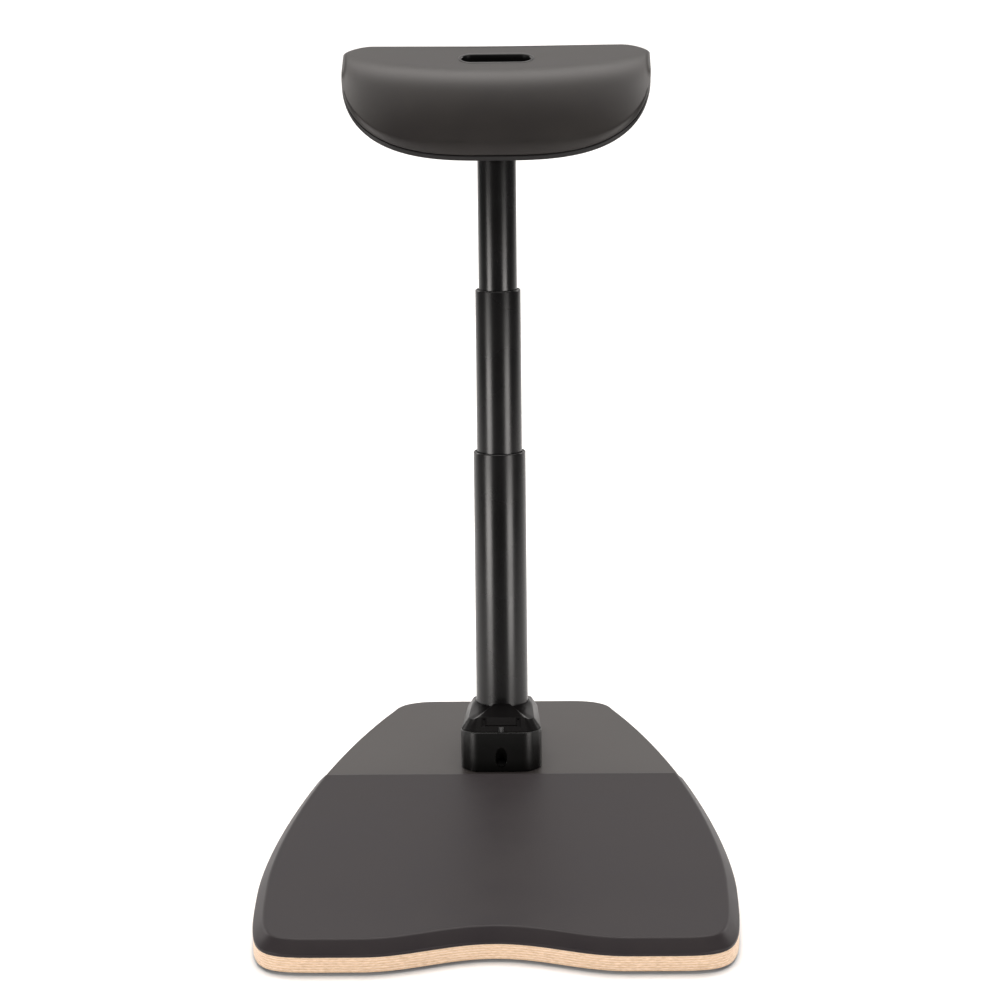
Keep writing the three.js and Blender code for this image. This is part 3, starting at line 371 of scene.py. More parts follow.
def veneer_edge(tree, where):
    """The edge's colour: the height divided by two veneers, its fraction on a ramp, flecked."""
    height = add_node(tree, "ShaderNodeSeparateXYZ", links={"Vector": where}).outputs["Z"]
    turns = add_node(
        tree, "ShaderNodeMath", settings={"operation": "DIVIDE"}, values={1: 2.0 * VENEER * MM},
        links={0: height})
    phase = add_node(
        tree, "ShaderNodeMath", settings={"operation": "FRACT"}, links={0: turns.outputs[0]})
    stack = add_node(
        tree, "ShaderNodeValToRGB", links={"Fac": phase.outputs[0]},
        stops=[(0.0, GLUE), (0.06, BIRCH_LIGHT), (0.44, BIRCH_LIGHT), (0.5, GLUE),
               (0.56, BIRCH_DARK), (0.94, BIRCH_DARK)])
    flat = add_node(
        tree, "ShaderNodeMapping", values={"Scale": (1.0, 1.0, 6.0)}, links={"Vector": where})
    flecks = add_node(
        tree, "ShaderNodeTexNoise", links={"Vector": flat.outputs["Vector"]},
        values={"Scale": per_mm(FLECK), "Detail": 4.0, "Roughness": 0.6})
    tone = add_node(
        tree, "ShaderNodeValToRGB", links={"Fac": flecks.outputs["Fac"]},
        stops=[(0.3, "#d9d0c4"), (0.62, "#ffffff")])
    # On a colour mix, sockets 6 and 7 are the two colours and output 2 is the result.
    return add_node(
        tree, "ShaderNodeMix", settings={"data_type": "RGBA", "blend_type": "MULTIPLY"},
        values={"Factor": 1.0}, links={6: stack.outputs["Color"], 7: tone.outputs["Color"]}
    ).outputs[2]


# %% [markdown]
# Flat faces show long grain instead, so the two are mixed by how steep the surface stands. The
# grain is also a faint bump, because open pores catch the light.

# %% Faces of the plywood
GRAIN = 2.5
FACE_DARK, FACE_LIGHT = "#d8b48a", "#e6c8a2"


def long_grain(tree, where):
    """The face's grain: noise drawn out along x."""
    along = add_node(
        tree, "ShaderNodeMapping", values={"Scale": (0.08, 1.0, 1.0)}, links={"Vector": where})
    return add_node(
        tree, "ShaderNodeTexNoise", links={"Vector": along.outputs["Vector"]},
        values={"Scale": per_mm(GRAIN), "Detail": 5.0, "Roughness": 0.6}
    ).outputs["Fac"]


def flatness(tree):
    """0 on an upright face and 1 on a level one, from the upright part of its normal."""
    geometry = add_node(tree, "ShaderNodeNewGeometry")
    parts = add_node(tree, "ShaderNodeSeparateXYZ", links={"Vector": geometry.outputs["Normal"]})
    steep = add_node(
        tree, "ShaderNodeMath", settings={"operation": "ABSOLUTE"}, links={0: parts.outputs["Z"]})
    return add_node(
        tree, "ShaderNodeMapRange", values={"From Min": 0.8, "From Max": 0.9},
        links={"Value": steep.outputs[0]}
    ).outputs["Result"]


board_birch, tree, shader, where = new_finish(
    "birch_plywood", {"Roughness": 0.5, "Coat Weight": 0.15})
grain = long_grain(tree, where)
face = add_node(
    tree, "ShaderNodeValToRGB", links={"Fac": grain},
    stops=[(0.25, FACE_DARK), (0.75, FACE_LIGHT)])
birch = add_node(
    tree, "ShaderNodeMix", settings={"data_type": "RGBA"},
    links={0: flatness(tree), 6: veneer_edge(tree, where), 7: face.outputs["Color"]})
pores = add_node(
    tree, "ShaderNodeBump", values={"Distance": 0.05 * MM, "Strength": 1.0},
    links={"Height": grain})
tree.links.new(birch.outputs[2], shader.inputs["Base Color"])
tree.links.new(pores.outputs["Normal"], shader.inputs["Normal"])
print("finishes:", len(bpy.data.materials))

# %% [markdown]
# ## Surfaces from grids
#
# Nearly every piece here is a stack of closed outlines, one above the other: the board, the mat,
# the block, the cover, and even the seat, whose outlines run out over its top, round its rim
# and back underneath. So one function turns such a stack, an array of rows of points, into a
# closed mesh. It makes all faces at once from index arithmetic, and turns them outwards by the
# sign of the volume that they enclose.


# %% A closed mesh from a stack of outlines
# In metres: points closer than the first are one point, and edges shorter than the second go.
MERGE_DISTANCE, SPECK = 1e-6, 1e-7


def mesh_volume(points, corners):
    """Six times the signed volume: the sum of the triple products of all triangles."""
    a, b, c = points[corners[:, 0]], points[corners[:, 1]], points[corners[:, 2]]
    return float(np.einsum("ij,ij->i", a, np.cross(b, c)).sum())


def row_quads(count, around, steps):
    """The corners of each face between a row and the next: index = row * around + place."""
    i = np.arange(steps)[:, None]
    k = np.arange(around)
    low, high, after = i * around, (i + 1) % count * around, (k + 1) % around
    return np.stack([low + k, low + after, high + after, high + k], axis=-1).reshape(-1, 4)


def stacked(name, rows, finish, body, replaced=(), ring=False, crease=35.0):
    """A piece from rows of outlines. Ends are closed by fans, or a ring joins last to first."""
    rows = np.asarray(rows, float)
    count, around = rows.shape[:2]
    points = rows.reshape(-1, 3)
    quads = row_quads(count, around, count if ring else count - 1)
    fans = np.zeros((0, 3), int)
    if not ring:
        points = np.concatenate([points, [rows[0].mean(0), rows[-1].mean(0)]])
        k = np.arange(around)
        after, base = (k + 1) % around, (count - 1) * around
        middle = np.full(around, count * around)
        first = np.stack([middle, after, k], axis=-1)
        last = np.stack([middle + 1, base + k, base + after], axis=-1)
        fans = np.concatenate([first, last])
    triangles = np.concatenate([quads[:, :3], quads[:, [0, 2, 3]], fans])
    if mesh_volume(points - points.mean(0), triangles) < 0:
        quads, fans = quads[:, ::-1], fans[:, ::-1]
    mesh = bpy.data.meshes.new(name)
    mesh.from_pydata(points.tolist(), [], quads.tolist() + fans.tolist())
    return dressed(name, mesh, finish, body, replaced, crease)


# %% [markdown]
# Every mesh is dressed alike. Doubled points are merged, each face gets the finish, and edges past
# a crease angle stay sharp. Then the piece is hung on the empty of the body it rides on, and the
# CAD nodes it stands for are hidden.


# %% Dressing a mesh
def dressed(name, mesh, finish, body, replaced, crease):
    """Finish a mesh: merge doubles, smooth it up to a crease angle, and tell the frame."""
    work = bmesh.new()
    work.from_mesh(mesh)
    bmesh.ops.remove_doubles(work, verts=work.verts, dist=MERGE_DISTANCE)
    bmesh.ops.dissolve_degenerate(work, edges=work.edges, dist=SPECK)
    work.to_mesh(mesh)
    work.free()
    wear(mesh, finish, crease)
    piece = bpy.data.objects.new(name, mesh)
    bpy.context.scene.collection.objects.link(piece)
    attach(piece, body)
    if replaced:
        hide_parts(*replaced)
    print(name, len(mesh.polygons), "faces")
    return piece


def wear(mesh, finish, crease):
    """Give every face the finish, smooth, with sharp edges past the crease angle in degrees."""
    mesh.materials.clear()
    mesh.materials.append(finish)
    mesh.polygons.foreach_set("material_index", np.zeros(len(mesh.polygons), np.int32))
    mesh.polygons.foreach_set("use_smooth", np.ones(len(mesh.polygons), bool))
    mesh.set_sharp_from_angle(angle=math.radians(crease))


# %% [markdown]
# ## The platform's outline
#
# Seen from above the board is a shield: a short straight rear edge, sides that swell towards the
# front, round front corners, and a shallow wave in the middle of the front edge. Half of it is
# four cubic curves and two straight lines. Points are then spread evenly along it, which is what
# lets the mat use the same outline moved inwards.

# %% Outline of the board
OUTLINE_POINTS = 420


def cubic(ends, count):
    """Points of a cubic curve with two handles: weights (1-t)^3, 3t(1-t)^2, 3t^2(1-t), t^3."""
    t = np.linspace(0, 1, count)[:, None]
    a, b, c, d = np.array(ends, float)
    return a * (1 - t) ** 3 + 3 * b * t * (1 - t) ** 2 + 3 * c * t**2 * (1 - t) + d * t**3


def evenly(line, count):
    """The same line with count points at equal steps of length, ends kept."""
    steps = np.linalg.norm(np.diff(line, axis=0), axis=1)
    length = np.concatenate([[0], np.cumsum(steps)])
    wanted = np.linspace(0, length[-1], count)
    return np.stack([np.interp(wanted, length, line[:, i]) for i in range(line.shape[1])], -1)


def both_halves(half):
    """The right half and its mirror image, as one closed outline without doubled points."""
    left = half[1:-1][::-1] * [-1, 1]
    return np.concatenate([half, left])


def moved_in(line, distance):
    """The line moved sideways by distance, towards the middle, along its own normals."""
    along = np.gradient(line, axis=0)
    along /= np.linalg.norm(along, axis=1)[:, None]
    moved = line + np.stack([along[:, 1], -along[:, 0]], -1) * distance
    moved[0, 0] = moved[-1, 0] = 0
    return moved


board_half = evenly(np.concatenate([
    [[0.0, 120.0]],
    cubic([(80, 120), (124, 120), (127.6, 96), (130.5, 90)], 30),
    cubic([(130.5, 90), (203.3, -61.6), (252.5, -300), (252.5, -430)], 80)[1:],
    cubic([(252.5, -430), (252.5, -565.8), (248.2, -574.5), (180, -574.5)], 60)[1:],
    cubic([(137, -574.5), (87, -574.5), (50, -544.5), (0, -544.5)], 60),
]), OUTLINE_POINTS)
print("board outline:", len(both_halves(board_half)), "points")

# %% [markdown]
# ## The board: plywood core and laminate
#
# The board is sawn from a laminated plywood sheet, so it is three pieces: the birch core, a black
# laminate 0.8 mm thick on top, and the same sheet below, which keeps the board from warping and
# shows as a thin dark line. The upper and lower arrises are broken with sandpaper.

# %% Board
LAMINATE = 0.8
SANDED = 0.3
SANDED_BELOW, SANDED_HEIGHT = 1.0, 0.2
core_foot = FOOT_HEIGHT + LAMINATE
core_top = BOARD_TOP - LAMINATE
# Name, finish, node, and for each row how far the outline is moved in, and its height.
board_layers = [
    ("plywood_core", board_birch, ["plywood_board"], [(0.0, core_foot), (0.0, core_top)]),
    ("laminate_sheet", laminate, [],
     [(0.0, core_top), (0.0, BOARD_TOP - SANDED), (SANDED, BOARD_TOP)]),
    ("backing_sheet", laminate, [],
     [(SANDED_BELOW, FOOT_HEIGHT), (SANDED, FOOT_HEIGHT + SANDED_HEIGHT), (0.0, core_foot)]),
]


def flat_row(outline, height):
    """A closed outline laid at one height on the platform."""
    return on_platform(xyz(outline[:, 0], outline[:, 1], height))


for name, finish, replaced, profile in board_layers:
    rows = [flat_row(both_halves(moved_in(board_half, inset)), z) for inset, z in profile]
    stacked(name, rows, finish, "base", replaced)

# %% [markdown]
# ## The standing mat
#
# The mat is moulded foam with its own skin. It covers the front of the board and ends flush with
# its edge: a low upright lip, then a wide bevel up to the flat top. Its rows are the board's
# outline moved inwards step by step and cut off by the mat's straight rear edge. One more row
# just inside the bevel keeps the fan that closes the top flat in its shading.

# %% Mat
MAT_REAR = 125.0
MAT_REAR_POINTS = 60
MAT_THICKNESS = 15.0
MAT_LIP = 2.5
MAT_BEVEL = 11.5
LIP_ROUND, SHOULDER_ROUND = 0.9, 2.2
# In front of this line the board's sides only swell, so each depth has one width.
SWELL_START = 60.0


def mat_outline(inset):
    """The board's outline in front of the mat's rear edge, moved in all round by inset."""
    rear = -MAT_REAR - inset
    line = moved_in(board_half, inset)
    line = line[line[:, 1] < SWELL_START]
    corner_x = np.interp(rear, line[::-1, 1], line[::-1, 0])
    side = np.concatenate([[[corner_x, rear]], line[(line[:, 1] > rear).sum():]])
    rear_x = np.linspace(0, corner_x, MAT_REAR_POINTS)[:-1]
    back = np.stack([rear_x, np.full_like(rear_x, rear)], -1)
    return both_halves(np.concatenate([back, evenly(side, OUTLINE_POINTS)]))


def rounded_bend(start, bend, end, radius, count=5):
    """The corner at bend as a quadratic curve that starts and ends radius away from it."""
    start, bend, end = (np.array(p, float) for p in (start, bend, end))
    a = bend + (start - bend) / np.linalg.norm(start - bend) * radius
    b = bend + (end - bend) / np.linalg.norm(end - bend) * radius
    t = np.linspace(0, 1, count)[:, None]
    return (a * (1 - t) ** 2 + 2 * bend * t * (1 - t) + b * t**2).tolist()


mat_foot = BOARD_TOP + HAIRLINE
mat_top = BOARD_TOP + MAT_THICKNESS
lip = (0.0, BOARD_TOP + MAT_LIP)
shoulder = (MAT_BEVEL, mat_top)
mat_profile = [(0.6, mat_foot), (0.15, mat_foot + 0.1), (0.0, mat_foot + 0.4)]
mat_profile += rounded_bend((0.0, mat_foot), lip, shoulder, LIP_ROUND)
mat_profile += rounded_bend(lip, shoulder, (MAT_BEVEL + 1.0, mat_top), SHOULDER_ROUND, 7)
mat_profile += [(MAT_BEVEL + 4.0, mat_top)]
mat = stacked(
    "standing_mat", [flat_row(mat_outline(inset), z) for inset, z in mat_profile],
    mat_skin, "base", ["foot_mat"], crease=60.0,
)

# %% [markdown]
# ## The telescopic column
#
# Three steel tubes slide in each other. A turned piece is a closed profile carried round an axis,
# so the rows of a tube or a ring are circles, and the last one joins the first.

# %% Turned pieces
AROUND = 160


def turned(name, profile, finish, body, replaced):
    """Carry a closed (radius, height) profile round the axis: x = r sin a, y = -r cos a."""
    angle = np.linspace(0, 2 * math.pi, AROUND, endpoint=False)
    rows = [on_column(xyz(r * np.sin(angle), -r * np.cos(angle), s)) for r, s in profile]
    stacked(name, rows, finish, body, [replaced], ring=True)


# %% [markdown]
# Each tube's profile runs up the outside, over a small chamfer at the rim, and down the bore. The
# plastic guide ring inside each rim is what shows as the dark line at every step. The tubes differ
# only in radius and length, so both kinds are made from one small table.

# %% Tubes and guide sleeves
OUTER_RADIUS, MIDDLE_RADIUS, INNER_RADIUS = 30.0, 26.0, 22.0
OUTER_FOOT = 10.0
OUTER_TOP, MIDDLE_TOP, INNER_TOP = 342.0, 529.0, 688.0
SLIDER_DROP = 70.3
TUBE_WALL = 2.0
RIM_CHAMFER = 1.0
BORE_ARRIS = 0.3
GUIDE_LENGTH = 30.0
GUIDE_GAP = 0.3
GUIDE_SUNK = 0.6
CROWN = 0.1


def tube_profile(radius, low, high):
    """Outside, a rim chamfer with rounded arrises, and bore."""
    bore = radius - TUBE_WALL
    return [
        (bore, low), (radius, low), (radius, high - 1.1 * RIM_CHAMFER),
        (radius - 0.08 * RIM_CHAMFER, high - 0.8 * RIM_CHAMFER),
        (radius - 0.75 * RIM_CHAMFER, high - 0.08 * RIM_CHAMFER), (radius - RIM_CHAMFER, high),
        (bore + BORE_ARRIS, high), (bore, high - BORE_ARRIS),
    ]


def guide_profile(inner_tube_radius, outer_tube_radius, rim):
    """A sleeve between two tubes, just below the rim, whose upper lip is slightly crowned."""
    bore = inner_tube_radius + GUIDE_GAP
    outside = outer_tube_radius - TUBE_WALL - GUIDE_GAP
    top = rim - GUIDE_SUNK
    return [
        (bore, top - GUIDE_LENGTH), (outside, top - GUIDE_LENGTH),
        (outside, top - CROWN - BORE_ARRIS), (outside - BORE_ARRIS, top - CROWN),
        ((bore + outside) / 2, top), (bore + BORE_ARRIS, top - CROWN),
        (bore, top - CROWN - BORE_ARRIS),
    ]


# Name, body, radius, and the heights of foot and rim along the axis.
stages = [
    ("outer", "base", OUTER_RADIUS, OUTER_FOOT, OUTER_TOP),
    ("middle", "middle_stage", MIDDLE_RADIUS, OUTER_TOP - SLIDER_DROP, MIDDLE_TOP),
    ("inner", "inner_stage", INNER_RADIUS, MIDDLE_TOP - SLIDER_DROP, INNER_TOP),
]
for stage, body, radius, low, high in stages:
    turned(f"{stage}_stage_tube", tube_profile(radius, low, high), powder_coat,
           body, f"{stage}_tube")
for (stage, body, radius, _, high), (_, _, inside, _, _) in zip(stages, stages[1:]):
    turned(f"{stage}_guide_sleeve", guide_profile(inside, radius, high), turned_acetal,
           body, f"{stage}_guide_ring")

# %% [markdown]
# ## The foot block
#
# The block that clamps the column to the board is a moulded wedge. Its top is square to the
# leaning column, so it is high in front and low behind. Its front corners are chamfers eased into
# the faces beside them, which draw two upright bands of light, and its front face leans back a
# little, as a moulding needs to leave its tool. Its rows climb from the board to the sloping top.

# %% Block outline
BLOCK_REAR = 55.0
BLOCK_FRONT_HALF = 46.0
BLOCK_REAR_HALF = 41.0
BLOCK_CORNER = 21.0
CORNER_ROUND = 0.85
BLOCK_HEIGHT = 46.0
BLOCK_EASE = 0.8
FRONT_DRAFT = 4.5
DRAFT_START, DRAFT_REACH = 30.0, 50.0
EASE_POINTS, ARC_POINTS, SIDE_POINTS = 9, 17, 24
parting = BLOCK_HEIGHT * math.cos(LEAN) - BLOCK_FRONT * math.sin(LEAN)


def wedge_outline(front, rear, front_half, rear_half, corner):
    """A tapered rectangle, its front corners chamfered and eased, its rear corners round."""
    turn = np.linspace(0, math.pi / 4, EASE_POINTS)
    ease = corner * CORNER_ROUND
    first = np.stack([ease * np.sin(turn), ease * (1 - np.cos(turn))], -1)
    second = corner - first[::-1, ::-1]
    front_corner = np.concatenate([first, second]) + [front_half - corner, -front]
    turn = np.linspace(0, math.pi / 2, ARC_POINTS)
    rear_corner = np.stack(
        [rear_half - corner * (1 - np.cos(turn)), rear - corner * (1 - np.sin(turn))], -1)
    t = np.linspace(0, 1, SIDE_POINTS)[1:-1, None]
    front_line = np.array([[0, -front]]) * (1 - t) + front_corner[0] * t
    side_line = front_corner[-1] * (1 - t) + rear_corner[0] * t
    rear_line = rear_corner[-1] * (1 - t) + np.array([[0, rear]]) * t
    return both_halves(np.concatenate([
        [[0, -front]], front_line, front_corner, side_line, rear_corner, rear_line, [[0, rear]]]))


def block_row(inset, share, drop):
    """A row of the block: share of the way from the board to its sloping top, less drop.

    The draft moves the front by the share's distance from halfway, and fades out to the rear.
    """
    line = wedge_outline(
        BLOCK_FRONT - inset, BLOCK_REAR - inset, BLOCK_FRONT_HALF - inset,
        BLOCK_REAR_HALF - inset, BLOCK_CORNER - inset)
    top = BOARD_TOP + (parting - line[:, 1] * math.sin(LEAN)) / math.cos(LEAN) - drop
    foot = BOARD_TOP + HAIRLINE
    fade = np.clip((-line[:, 1] - DRAFT_START) / DRAFT_REACH, 0, 1)
    draft = (share - 0.5) * FRONT_DRAFT * fade
    return on_platform(xyz(line[:, 0], line[:, 1] + draft, foot + (top - foot) * share))


# Inset, share of the height, and drop, for each row.
block_profile = [
    (0.5, 0.0, 0.0), (0.0, 0.012, 0.0), (0.0, 0.5, 0.0), (0.0, 1.0, 1.1), (0.1, 1.0, 0.6),
    (0.4, 1.0, 0.2), (0.9, 1.0, 0.0), (6.0, 1.0, 0.0),
]
foot_wedge = stacked(
    "foot_wedge", [block_row(*row) for row in block_profile], moulded_nylon,
    "base", ["foot_block"])

# %% [markdown]
# ### Cutting with another mesh
#
# Pockets and grooves are cut with Blender's exact Boolean. The result is kept as plain mesh, and
# the cutter is removed, because nothing else needs it. A small Bevel modifier may stay on a
# piece, to ease the edges that the cut leaves.


# %% Cut tools
def lidded_mesh(stacks):
    """One mesh from stacks of outlines, each with its end rows as flat lids."""
    points, faces = [], []
    for rows in stacks:
        rows = np.asarray(rows, float)
        count, around = rows.shape[:2]
        lids = np.arange(count * around).reshape(count, around)[[0, -1]]
        faces += (row_quads(count, around, count - 1) + len(points)).tolist()
        faces += (lids + len(points)).tolist()
        points += rows.reshape(-1, 3).tolist()
    mesh = bpy.data.meshes.new("lidded")
    mesh.from_pydata(points, [], faces)
    work = bmesh.new()
    work.from_mesh(mesh)
    bmesh.ops.recalc_face_normals(work, faces=work.faces)
    work.to_mesh(mesh)
    work.free()
    return mesh


def cut(piece, stacks, crease):
    """Cut each stack of outlines out of the piece, keep the result and remove the cutters."""
    cutters = [bpy.data.objects.new("cutter", lidded_mesh([rows])) for rows in stacks]
    for cutter in cutters:
        bpy.context.scene.collection.objects.link(cutter)
        knife = piece.modifiers.new("cut", "BOOLEAN")
        knife.operation = "DIFFERENCE"
        knife.solver = "EXACT"
        knife.object = cutter
    bpy.context.view_layer.update()
    seen = piece.evaluated_get(bpy.context.evaluated_depsgraph_get())
    made = bpy.data.meshes.new_from_object(seen)
    finish = piece.data.materials[0]
    piece.modifiers.clear()
    piece.data = made
    wear(made, finish, crease)
    for cutter in cutters:
        bpy.data.objects.remove(cutter, do_unlink=True)
    print(piece.name, "cut:", len(made.polygons), "faces")


def soften_edges(piece, width, angle):
    """A bevel of width millimetres on edges sharper than angle degrees."""
    ease = piece.modifiers.new("ease", "BEVEL")
    ease.width = width * MM
    ease.segments = 2
    ease.limit_method = "ANGLE"
    ease.angle_limit = math.radians(angle)


# %% [markdown]
# The toe screw sits at the bottom of a round pocket that slants down and back from the front
# face, so that a screwdriver can reach it past the mat.

# %% Screw pocket
POCKET_RADIUS = 6.7
POCKET_LEAN = math.radians(29.0)
POCKET_MOUTH = 16.0
POCKET_DEPTH = 12.5
POCKET_OVERRUN = 90.0
POCKET_POINTS = 64


def in_pocket(points):
    """Pocket drawing to the shared frame: turn by the slant, then move to the front face."""
    x, y, z = points[..., 0], points[..., 1], points[..., 2]
    slant_y = y * math.cos(POCKET_LEAN) - z * math.sin(POCKET_LEAN) - BLOCK_FRONT
    slant_z = y * math.sin(POCKET_LEAN) + z * math.cos(POCKET_LEAN) + POCKET_MOUTH + BOARD_TOP
    return on_platform(xyz(x, slant_y, slant_z))


turn = np.linspace(0, 2 * math.pi, POCKET_POINTS, endpoint=False)
pocket = [in_pocket(xyz(POCKET_RADIUS * np.sin(turn), POCKET_RADIUS * np.cos(turn), z))
          for z in (-POCKET_DEPTH, POCKET_OVERRUN)]
cut(foot_wedge, [pocket], crease=20.0)
soften_edges(foot_wedge, BLOCK_EASE, 45.0)

# %% [markdown]
# ## The cover
#
# A satin moulded cover closes the gap between block and tube. It starts flush with the sides of
# the block, a little behind its front edge, leans in to a bend, and runs on as a shallow roof to
# a round rim that hugs the tube. The front plane of the roof ends at two hips, past which the
# sides lie 2.8 mm lower, and these short slopes catch the overhead light. The rows go from a
# tapered rectangle to a circle, and the bend is rounded by a few rows.

# %% Outlines of the cover
COVER_LEDGE = 6.5
COVER_GAP = 0.3
BEND_FRONT, BEND_REAR = 75.7, 43.0
BEND_FRONT_HALF, BEND_REAR_HALF = 37.5, 34.0
BEND_CORNER = 12.0
HIP_DROP, HIP_WIDTH = 2.8, 8.0


def smooth(value, low, high):
    """A smooth step from 0 at low to 1 at high: 3t^2 - 2t^3 of the way between them."""
    t = np.clip((value - low) / (high - low), 0, 1)
    return t * t * (3 - 2 * t)


def square_row(line, height):
    """A plan outline of the block seen square to the column, height above the parting plane."""
    y = (line[:, 1] - parting * math.sin(LEAN)) / math.cos(LEAN)
    return xyz(line[:, 0], y, parting + height)


def foot_row(inset):
    """The cover's foot: the block's outline, but a ledge of it stays bare in front."""
    return square_row(wedge_outline(
        BLOCK_FRONT - COVER_LEDGE - inset, BLOCK_REAR - inset, BLOCK_FRONT_HALF - inset,
        BLOCK_REAR_HALF - inset, BLOCK_CORNER), COVER_GAP)


bend_line = square_row(wedge_outline(
    BEND_FRONT, BEND_REAR, BEND_FRONT_HALF, BEND_REAR_HALF, BEND_CORNER), 0.0)
bend_steps = np.linalg.norm(np.diff(bend_line, axis=0), axis=1)
bend_travel = np.concatenate([[0], np.cumsum(bend_steps)])
bend_around = bend_travel[-1] + np.linalg.norm(bend_line[-1] - bend_line[0])
# How far each point lies past the end of the front plane, along the bend, on either side.
past_hip = np.minimum(bend_travel, bend_around - bend_travel) - (BEND_FRONT_HALF - BEND_CORNER)
hip_drop = HIP_DROP * smooth(past_hip, 0, HIP_WIDTH)
print("cover bend:", round(float(bend_around), 1), "mm around")

# %% [markdown]
# The rim is a circle with as many points as the bend, so the roof is drawn by sharing out the way
# between the two. The rows then turn in over the rim and run down the bore.

# %% Rows of the cover
COVER_ARRIS = 0.4
COVER_BEND, COVER_RIM = 14.3, 17.4
RIM_RADIUS, RIM_BORE = 31.9, 30.2
RIM_ARRIS, RIM_CROWN = 0.6, 0.1


def rim_row(radius, height):
    """A circle with one point for each point of the bend, in the same bearing from the axis."""
    bearing = np.arctan2(bend_line[:, 0], -bend_line[:, 1])
    return xyz(radius * np.sin(bearing), -radius * np.cos(bearing), parting + height - hip_drop)


def between(rows_a, rows_b, share):
    """The rows that lie share of the way from a to b."""
    return rows_a * (1 - share) + rows_b * share


def softened(before, corner, after, reach_before, reach_after):
    """Five rows of a quadratic curve round the corner, starting and ending a share away."""
    a, b = between(corner, before, reach_before), between(corner, after, reach_after)
    return [a * (1 - t) ** 2 + 2 * corner * t * (1 - t) + b * t**2 for t in np.linspace(0, 1, 5)]


cover_foot = foot_row(0.0)
cover_bend = bend_line + xyz(0.0, 0.0, COVER_BEND - hip_drop)
cover_rim = rim_row(RIM_RADIUS, COVER_RIM)
cover_rows = [foot_row(COVER_ARRIS)]
cover_rows += [between(cover_foot, cover_bend, share) for share in (0.03, 0.5)]
cover_rows += softened(cover_foot, cover_bend, cover_rim, 0.025, 0.012)
cover_rows += [between(cover_bend, cover_rim, share) for share in (0.35, 0.65, 0.9)]
cover_rows += [cover_rim, rim_row(RIM_RADIUS - RIM_ARRIS, COVER_RIM + RIM_CROWN)]
cover_rows += [rim_row(RIM_BORE, COVER_RIM + RIM_CROWN), rim_row(RIM_BORE, COVER_GAP)]
collar = stacked(
    "collar_shroud", [on_column(row) for row in cover_rows], satin_abs, "base",
    ["collar_cover"], ring=True, crease=28.0)

# %% [markdown]
# The front of the cover has a spring tab: a groove on each side and one below let it flex. The
# grooves are boxes laid on the sloping front facet, and those at the sides open with a wide
# chamfer, whose lower end can catch the overhead light.

# %% Tab grooves
TAB_HALF, TAB_GROOVE = 19.5, 2.4
TAB_FOOT_SHARE, TAB_HEAD_SHARE = 0.42, 0.9
GROOVE_DEPTH, GROOVE_FLARE = 1.6, 1.7
FOOT_GROOVE, FOOT_GROOVE_DEPTH, FOOT_GROOVE_FLARE = 0.8, 1.3, 0.4
FLARE_SLOPE = 0.36
GROOVE_OVERRUN = 2.0
facet_foot = cover_foot[0]
facet_up = cover_bend[0] - facet_foot
facet_length = float(np.linalg.norm(facet_up))
facet_up /= facet_length
facet_out = np.cross([1.0, 0.0, 0.0], facet_up)


def on_facet(points):
    """Facet drawing, x across, y up the facet, z out of it, to the shared frame."""
    x, y, z = points[..., :1], points[..., 1:2], points[..., 2:]
    return on_column(facet_foot + x * [1.0, 0.0, 0.0] + y * facet_up + z * facet_out)


def groove(x0, x1, y0, y1, depth, flare):
    """Rows of a groove: upright walls up to the chamfer, then out by flare at FLARE_SLOPE."""
    x, y = np.array([x0, x1, x1, x0]), np.array([y0, y0, y1, y1])
    side_x, side_y = np.array([-1, 1, 1, -1]), np.array([-1, -1, 1, 1])
    steps = [(0.0, -depth), (HAIRLINE, -FLARE_SLOPE * flare), (flare, 0.0),
             (flare + 2 * HAIRLINE, GROOVE_OVERRUN)]
    return [on_facet(xyz(x + grow * side_x, y + grow * side_y, z)) for grow, z in steps]


tab_foot, tab_head = facet_length * TAB_FOOT_SHARE, facet_length * TAB_HEAD_SHARE
grooves = [
    groove(side - TAB_GROOVE / 2, side + TAB_GROOVE / 2, tab_foot, tab_head, GROOVE_DEPTH,
           GROOVE_FLARE)
    for side in (-TAB_HALF, TAB_HALF)
]
grooves += [groove(-TAB_HALF, TAB_HALF, tab_foot, tab_foot + FOOT_GROOVE, FOOT_GROOVE_DEPTH,
                   FOOT_GROOVE_FLARE)]
cut(collar, grooves, crease=14.0)

# %% [markdown]
# A spring clip holds the cover's front down. It is one bent strip with two ribs: it lies on the
# sloping facet, turns at the facet's foot and runs out over the ledge, but not past its edge. The
# ribs are highest at the foot, so their upper faces tilt up and catch the light.

# %% Spring clip
CLIP_HALF, RIB_NEAR, RIB_FAR = 2.9, 1.5, 2.6
CLIP_REACH = 6.4
CLIP_SETBACK = 1.2
CLIP_TURN = math.tan(0.4)
CLIP_EASE = 0.12
# Heights over the ledge's end, the bend and the upper end.
STRIP_HEIGHTS = 0.5, 0.5, 0.4
RIB_HEIGHTS = 1.5, 1.9, 0.5
ledge_front = BLOCK_FRONT - FRONT_DRAFT / 2 - CLIP_SETBACK
ledge_end = -(ledge_front + parting * math.sin(LEAN)) / math.cos(LEAN)


def clip_rows(x0, x1, heights):
    """A strip of these heights along the facet and the ledge, carried from x0 to x1."""
    low, foot, high = heights
    clip_foot, clip_low = facet_foot[1], facet_foot[2]
    upper = facet_foot + facet_up * CLIP_REACH
    bend_out = facet_foot + (facet_out + [0.0, -CLIP_TURN, 0.0]) * foot
    top_out = upper + facet_out * high
    y = np.array([ledge_end, clip_foot, upper[1], top_out[1], bend_out[1], ledge_end])
    z = np.array([clip_low, clip_low, upper[2], top_out[2], max(bend_out[2], clip_low + low),
                  clip_low + low])
    return [on_column(xyz(x, y, z)) for x in (x0, x1)]


